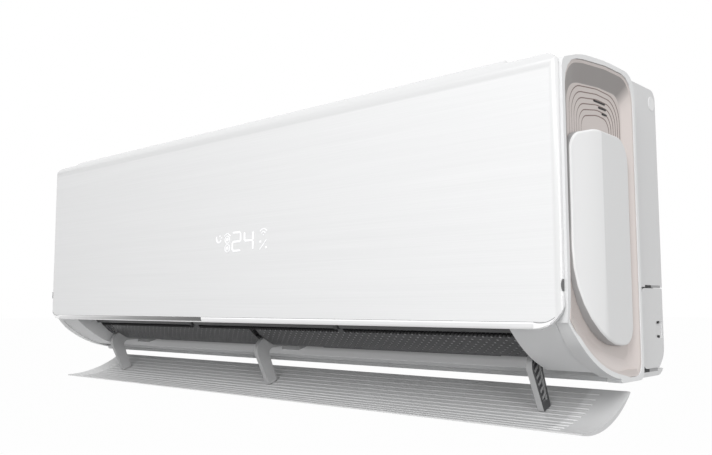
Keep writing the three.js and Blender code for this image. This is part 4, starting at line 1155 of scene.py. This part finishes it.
vaneSettings = {
    "axis": (-0.208, -0.112),
    "tilt": -36.4,                 # degrees
    "reach": 0.052,
    "from": 0.001,
    "plainRows": 2,                # rows without holes, next to the axis
    "linerGap": 0.0001,
    "sag": 0.0032,
    "sheet": 0.0008,
    "pitch": 0.0055,               # between holes along the vane; alternate rows are staggered
    "rowPitch": 0.0045,
    "around": 0.0012,              # from a hole to the edge of its cell
    "round": 0.0005,
    "hub": 0.004,
    "hubSides": 20,
    "pinSides": 12,
    "armGap": 0.0065,
    "hangerGap": 0.0045,
    "hangers": (-0.150, 0.156),
    "shortest": 0.004,             # a shorter stretch between two arms is left out
    "shortestLiner": 0.02,
    "linerThick": 0.0005,
    "pinLength": 0.0055,
    "tooth": 0.0052,
    "toothRadius": 0.0019,
    "toothSides": 10,
    "toothLength": 0.0045,
    "toothGap": 0.003,             # kept free beside a hanger
    "toothMargin": 0.01,           # kept free at the two ends together
    "toothPlace": (0.0075, 0.0022),   # along the vane from its axis, and out from its face
    "grain": 1200.0,
}


def vaneFinish(settings=vaneSettings):
    # dark satin plastic, its tone drifting along the vane
    material, shader, wires = newMaterial("vaneGrey")
    drift = noise(wires, placed(wires, (4.0, 30.0, 30.0)), 3.0)
    painted(wires, shader, wires.blend(drift, (0.075, 0.075, 0.078), (0.115, 0.115, 0.118)),
            0.32 + drift * 0.14)
    grained(wires, shader, 0.06, settings["grain"])
    return material


def vanePlate(form, x0, x1, settings):
    # one stretch of the perforated blade, flat: X along the unit, Y out from the axis
    length = x1 - x0
    reach = settings["reach"] - settings["from"]
    columns = max(2, round(length / settings["pitch"]))
    rows = round(reach / settings["rowPitch"])
    made = bmesh.ops.create_grid(form, x_segments=columns, y_segments=rows, size=0.5)["verts"]
    bmesh.ops.scale(form, verts=made, vec=(length, reach, 1))
    bmesh.ops.translate(form, verts=made, vec=((x0 + x1) / 2, settings["from"] + reach / 2, 0))
    cellX, cellY = length / columns, reach / rows
    faces = list({face for vert in made for face in vert.link_faces})
    holes = []
    for face in faces:
        centre = face.calc_center_median()
        column = int((centre.x - x0) / cellX)
        row = int((centre.y - settings["from"]) / cellY)
        if (column + row) % 2 and 0 < column < columns - 1 and settings["plainRows"] <= row < rows - 1:
            holes.append(face)
    bmesh.ops.inset_individual(form, faces=holes, thickness=settings["around"], use_even_offset=True)
    corners = []
    for face in holes:
        face.material_index = 1
        corners.extend(face.verts)
    bmesh.ops.bevel(form, geom=corners, offset=settings["round"], affect="VERTICES", segments=1,
                    profile=0.5, material=-1)


def vaneLiner(stretches, settings):
    # a pale sheet close behind the holes: painted light that shows through them
    form = bmesh.new()
    reach = settings["reach"] - settings["from"]
    pitch = settings["pitch"]
    for x0, x1 in stretches:
        made = bmesh.ops.create_grid(form, x_segments=4, y_segments=10, size=0.5)["verts"]
        bmesh.ops.scale(form, verts=made, vec=(x1 - x0 - pitch, reach - pitch * 3, 1))
        middle = settings["reach"] - reach / 2 + pitch / 2
        bmesh.ops.translate(form, verts=made, vec=((x0 + x1) / 2, middle, 0))
    bmesh.ops.solidify(form, geom=form.faces[:], thickness=settings["linerThick"])
    hung(form, -settings["sheet"] / 2 - settings["linerGap"], settings)
    closed(form, "right", "vane")
    addPiece("vane_liner", form, "inner_vane", linerPaintedLight)


def hung(form, drop, settings):
    # a flat vane sheet takes its sag and tilt about the axis
    for vert in form.verts:
        vert.co.z -= drop + settings["sag"] * math.sin(math.pi * vert.co.y / settings["reach"])
    bmesh.ops.rotate(form, verts=form.verts, cent=(0, 0, 0),
                     matrix=Matrix.Rotation(math.radians(settings["tilt"]), 3, "X"))
    bmesh.ops.translate(form, verts=form.verts, vec=(0, *settings["axis"]))


def between(half, places, gap):
    # the stretches of a vane of this half length that the places leave free
    ends = [-half]
    for place in places:
        ends += [place - gap, place + gap]
    ends.append(half)
    return list(zip(ends[0::2], ends[1::2]))


def innerVane(settings=vaneSettings):
    low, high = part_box("inner_vane")
    half = high[0] - settings["pinLength"]
    arms = sorted((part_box(node)[0][0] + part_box(node)[1][0]) / 2
                  for node in ("louver_arm_left", "louver_arm_middle", "louver_arm_right"))
    stretches = between(half, arms, settings["armGap"])
    form = bmesh.new()
    for x0, x1 in stretches:
        if x1 - x0 > settings["shortest"]:
            vanePlate(form, x0, x1, settings)
    bmesh.ops.delete(form, geom=[face for face in form.faces if face.material_index == 1], context="FACES")
    bmesh.ops.solidify(form, geom=form.faces[:], thickness=settings["sheet"])
    hung(form, sum(vert.co.z for vert in form.verts) / len(form.verts), settings)
    y, z = settings["axis"]
    for x0, x1 in between(half, settings["hangers"], settings["hangerGap"]):
        rodAlong(form, x0, x1, y, z, settings["hub"], settings["hubSides"])
    rodAlong(form, low[0], high[0], y, z, settings["hub"] / 2, settings["pinSides"])
    closed(form, "right", "vane")
    addPiece("inner_vane_perforated", form, "inner_vane", vaneFinish(), ["inner_vane"])
    vaneLiner([(x0, x1) for x0, x1 in stretches if x1 - x0 > settings["shortestLiner"]], settings)
    return half


def vaneTeeth(half, settings=vaneSettings):
    # the black corrugated strip along the upper end of the holes
    form = bmesh.new()
    tilt = math.radians(-settings["tilt"])
    down, out = settings["toothPlace"]
    y = settings["axis"][0] + down * math.cos(tilt) - out * math.sin(tilt)
    z = settings["axis"][1] - down * math.sin(tilt) - out * math.cos(tilt)
    count = int((2 * half - settings["toothMargin"]) / settings["tooth"])
    kept = settings["hangerGap"] + settings["toothGap"]
    for tooth in range(count):
        x = (tooth - (count - 1) / 2) * settings["tooth"]
        if all(abs(x - hanger) >= kept for hanger in settings["hangers"]):
            rod(form, settings["toothLength"], settings["toothRadius"], settings["toothSides"],
                math.pi / 2 - tilt, "X", (x, y, z))
    smoothBelow(form, sharpFrom["marks"])
    addPiece("vane_teeth", form, "inner_vane", slotBlack)


vaneTeeth(innerVane())
print("inner vane ready")
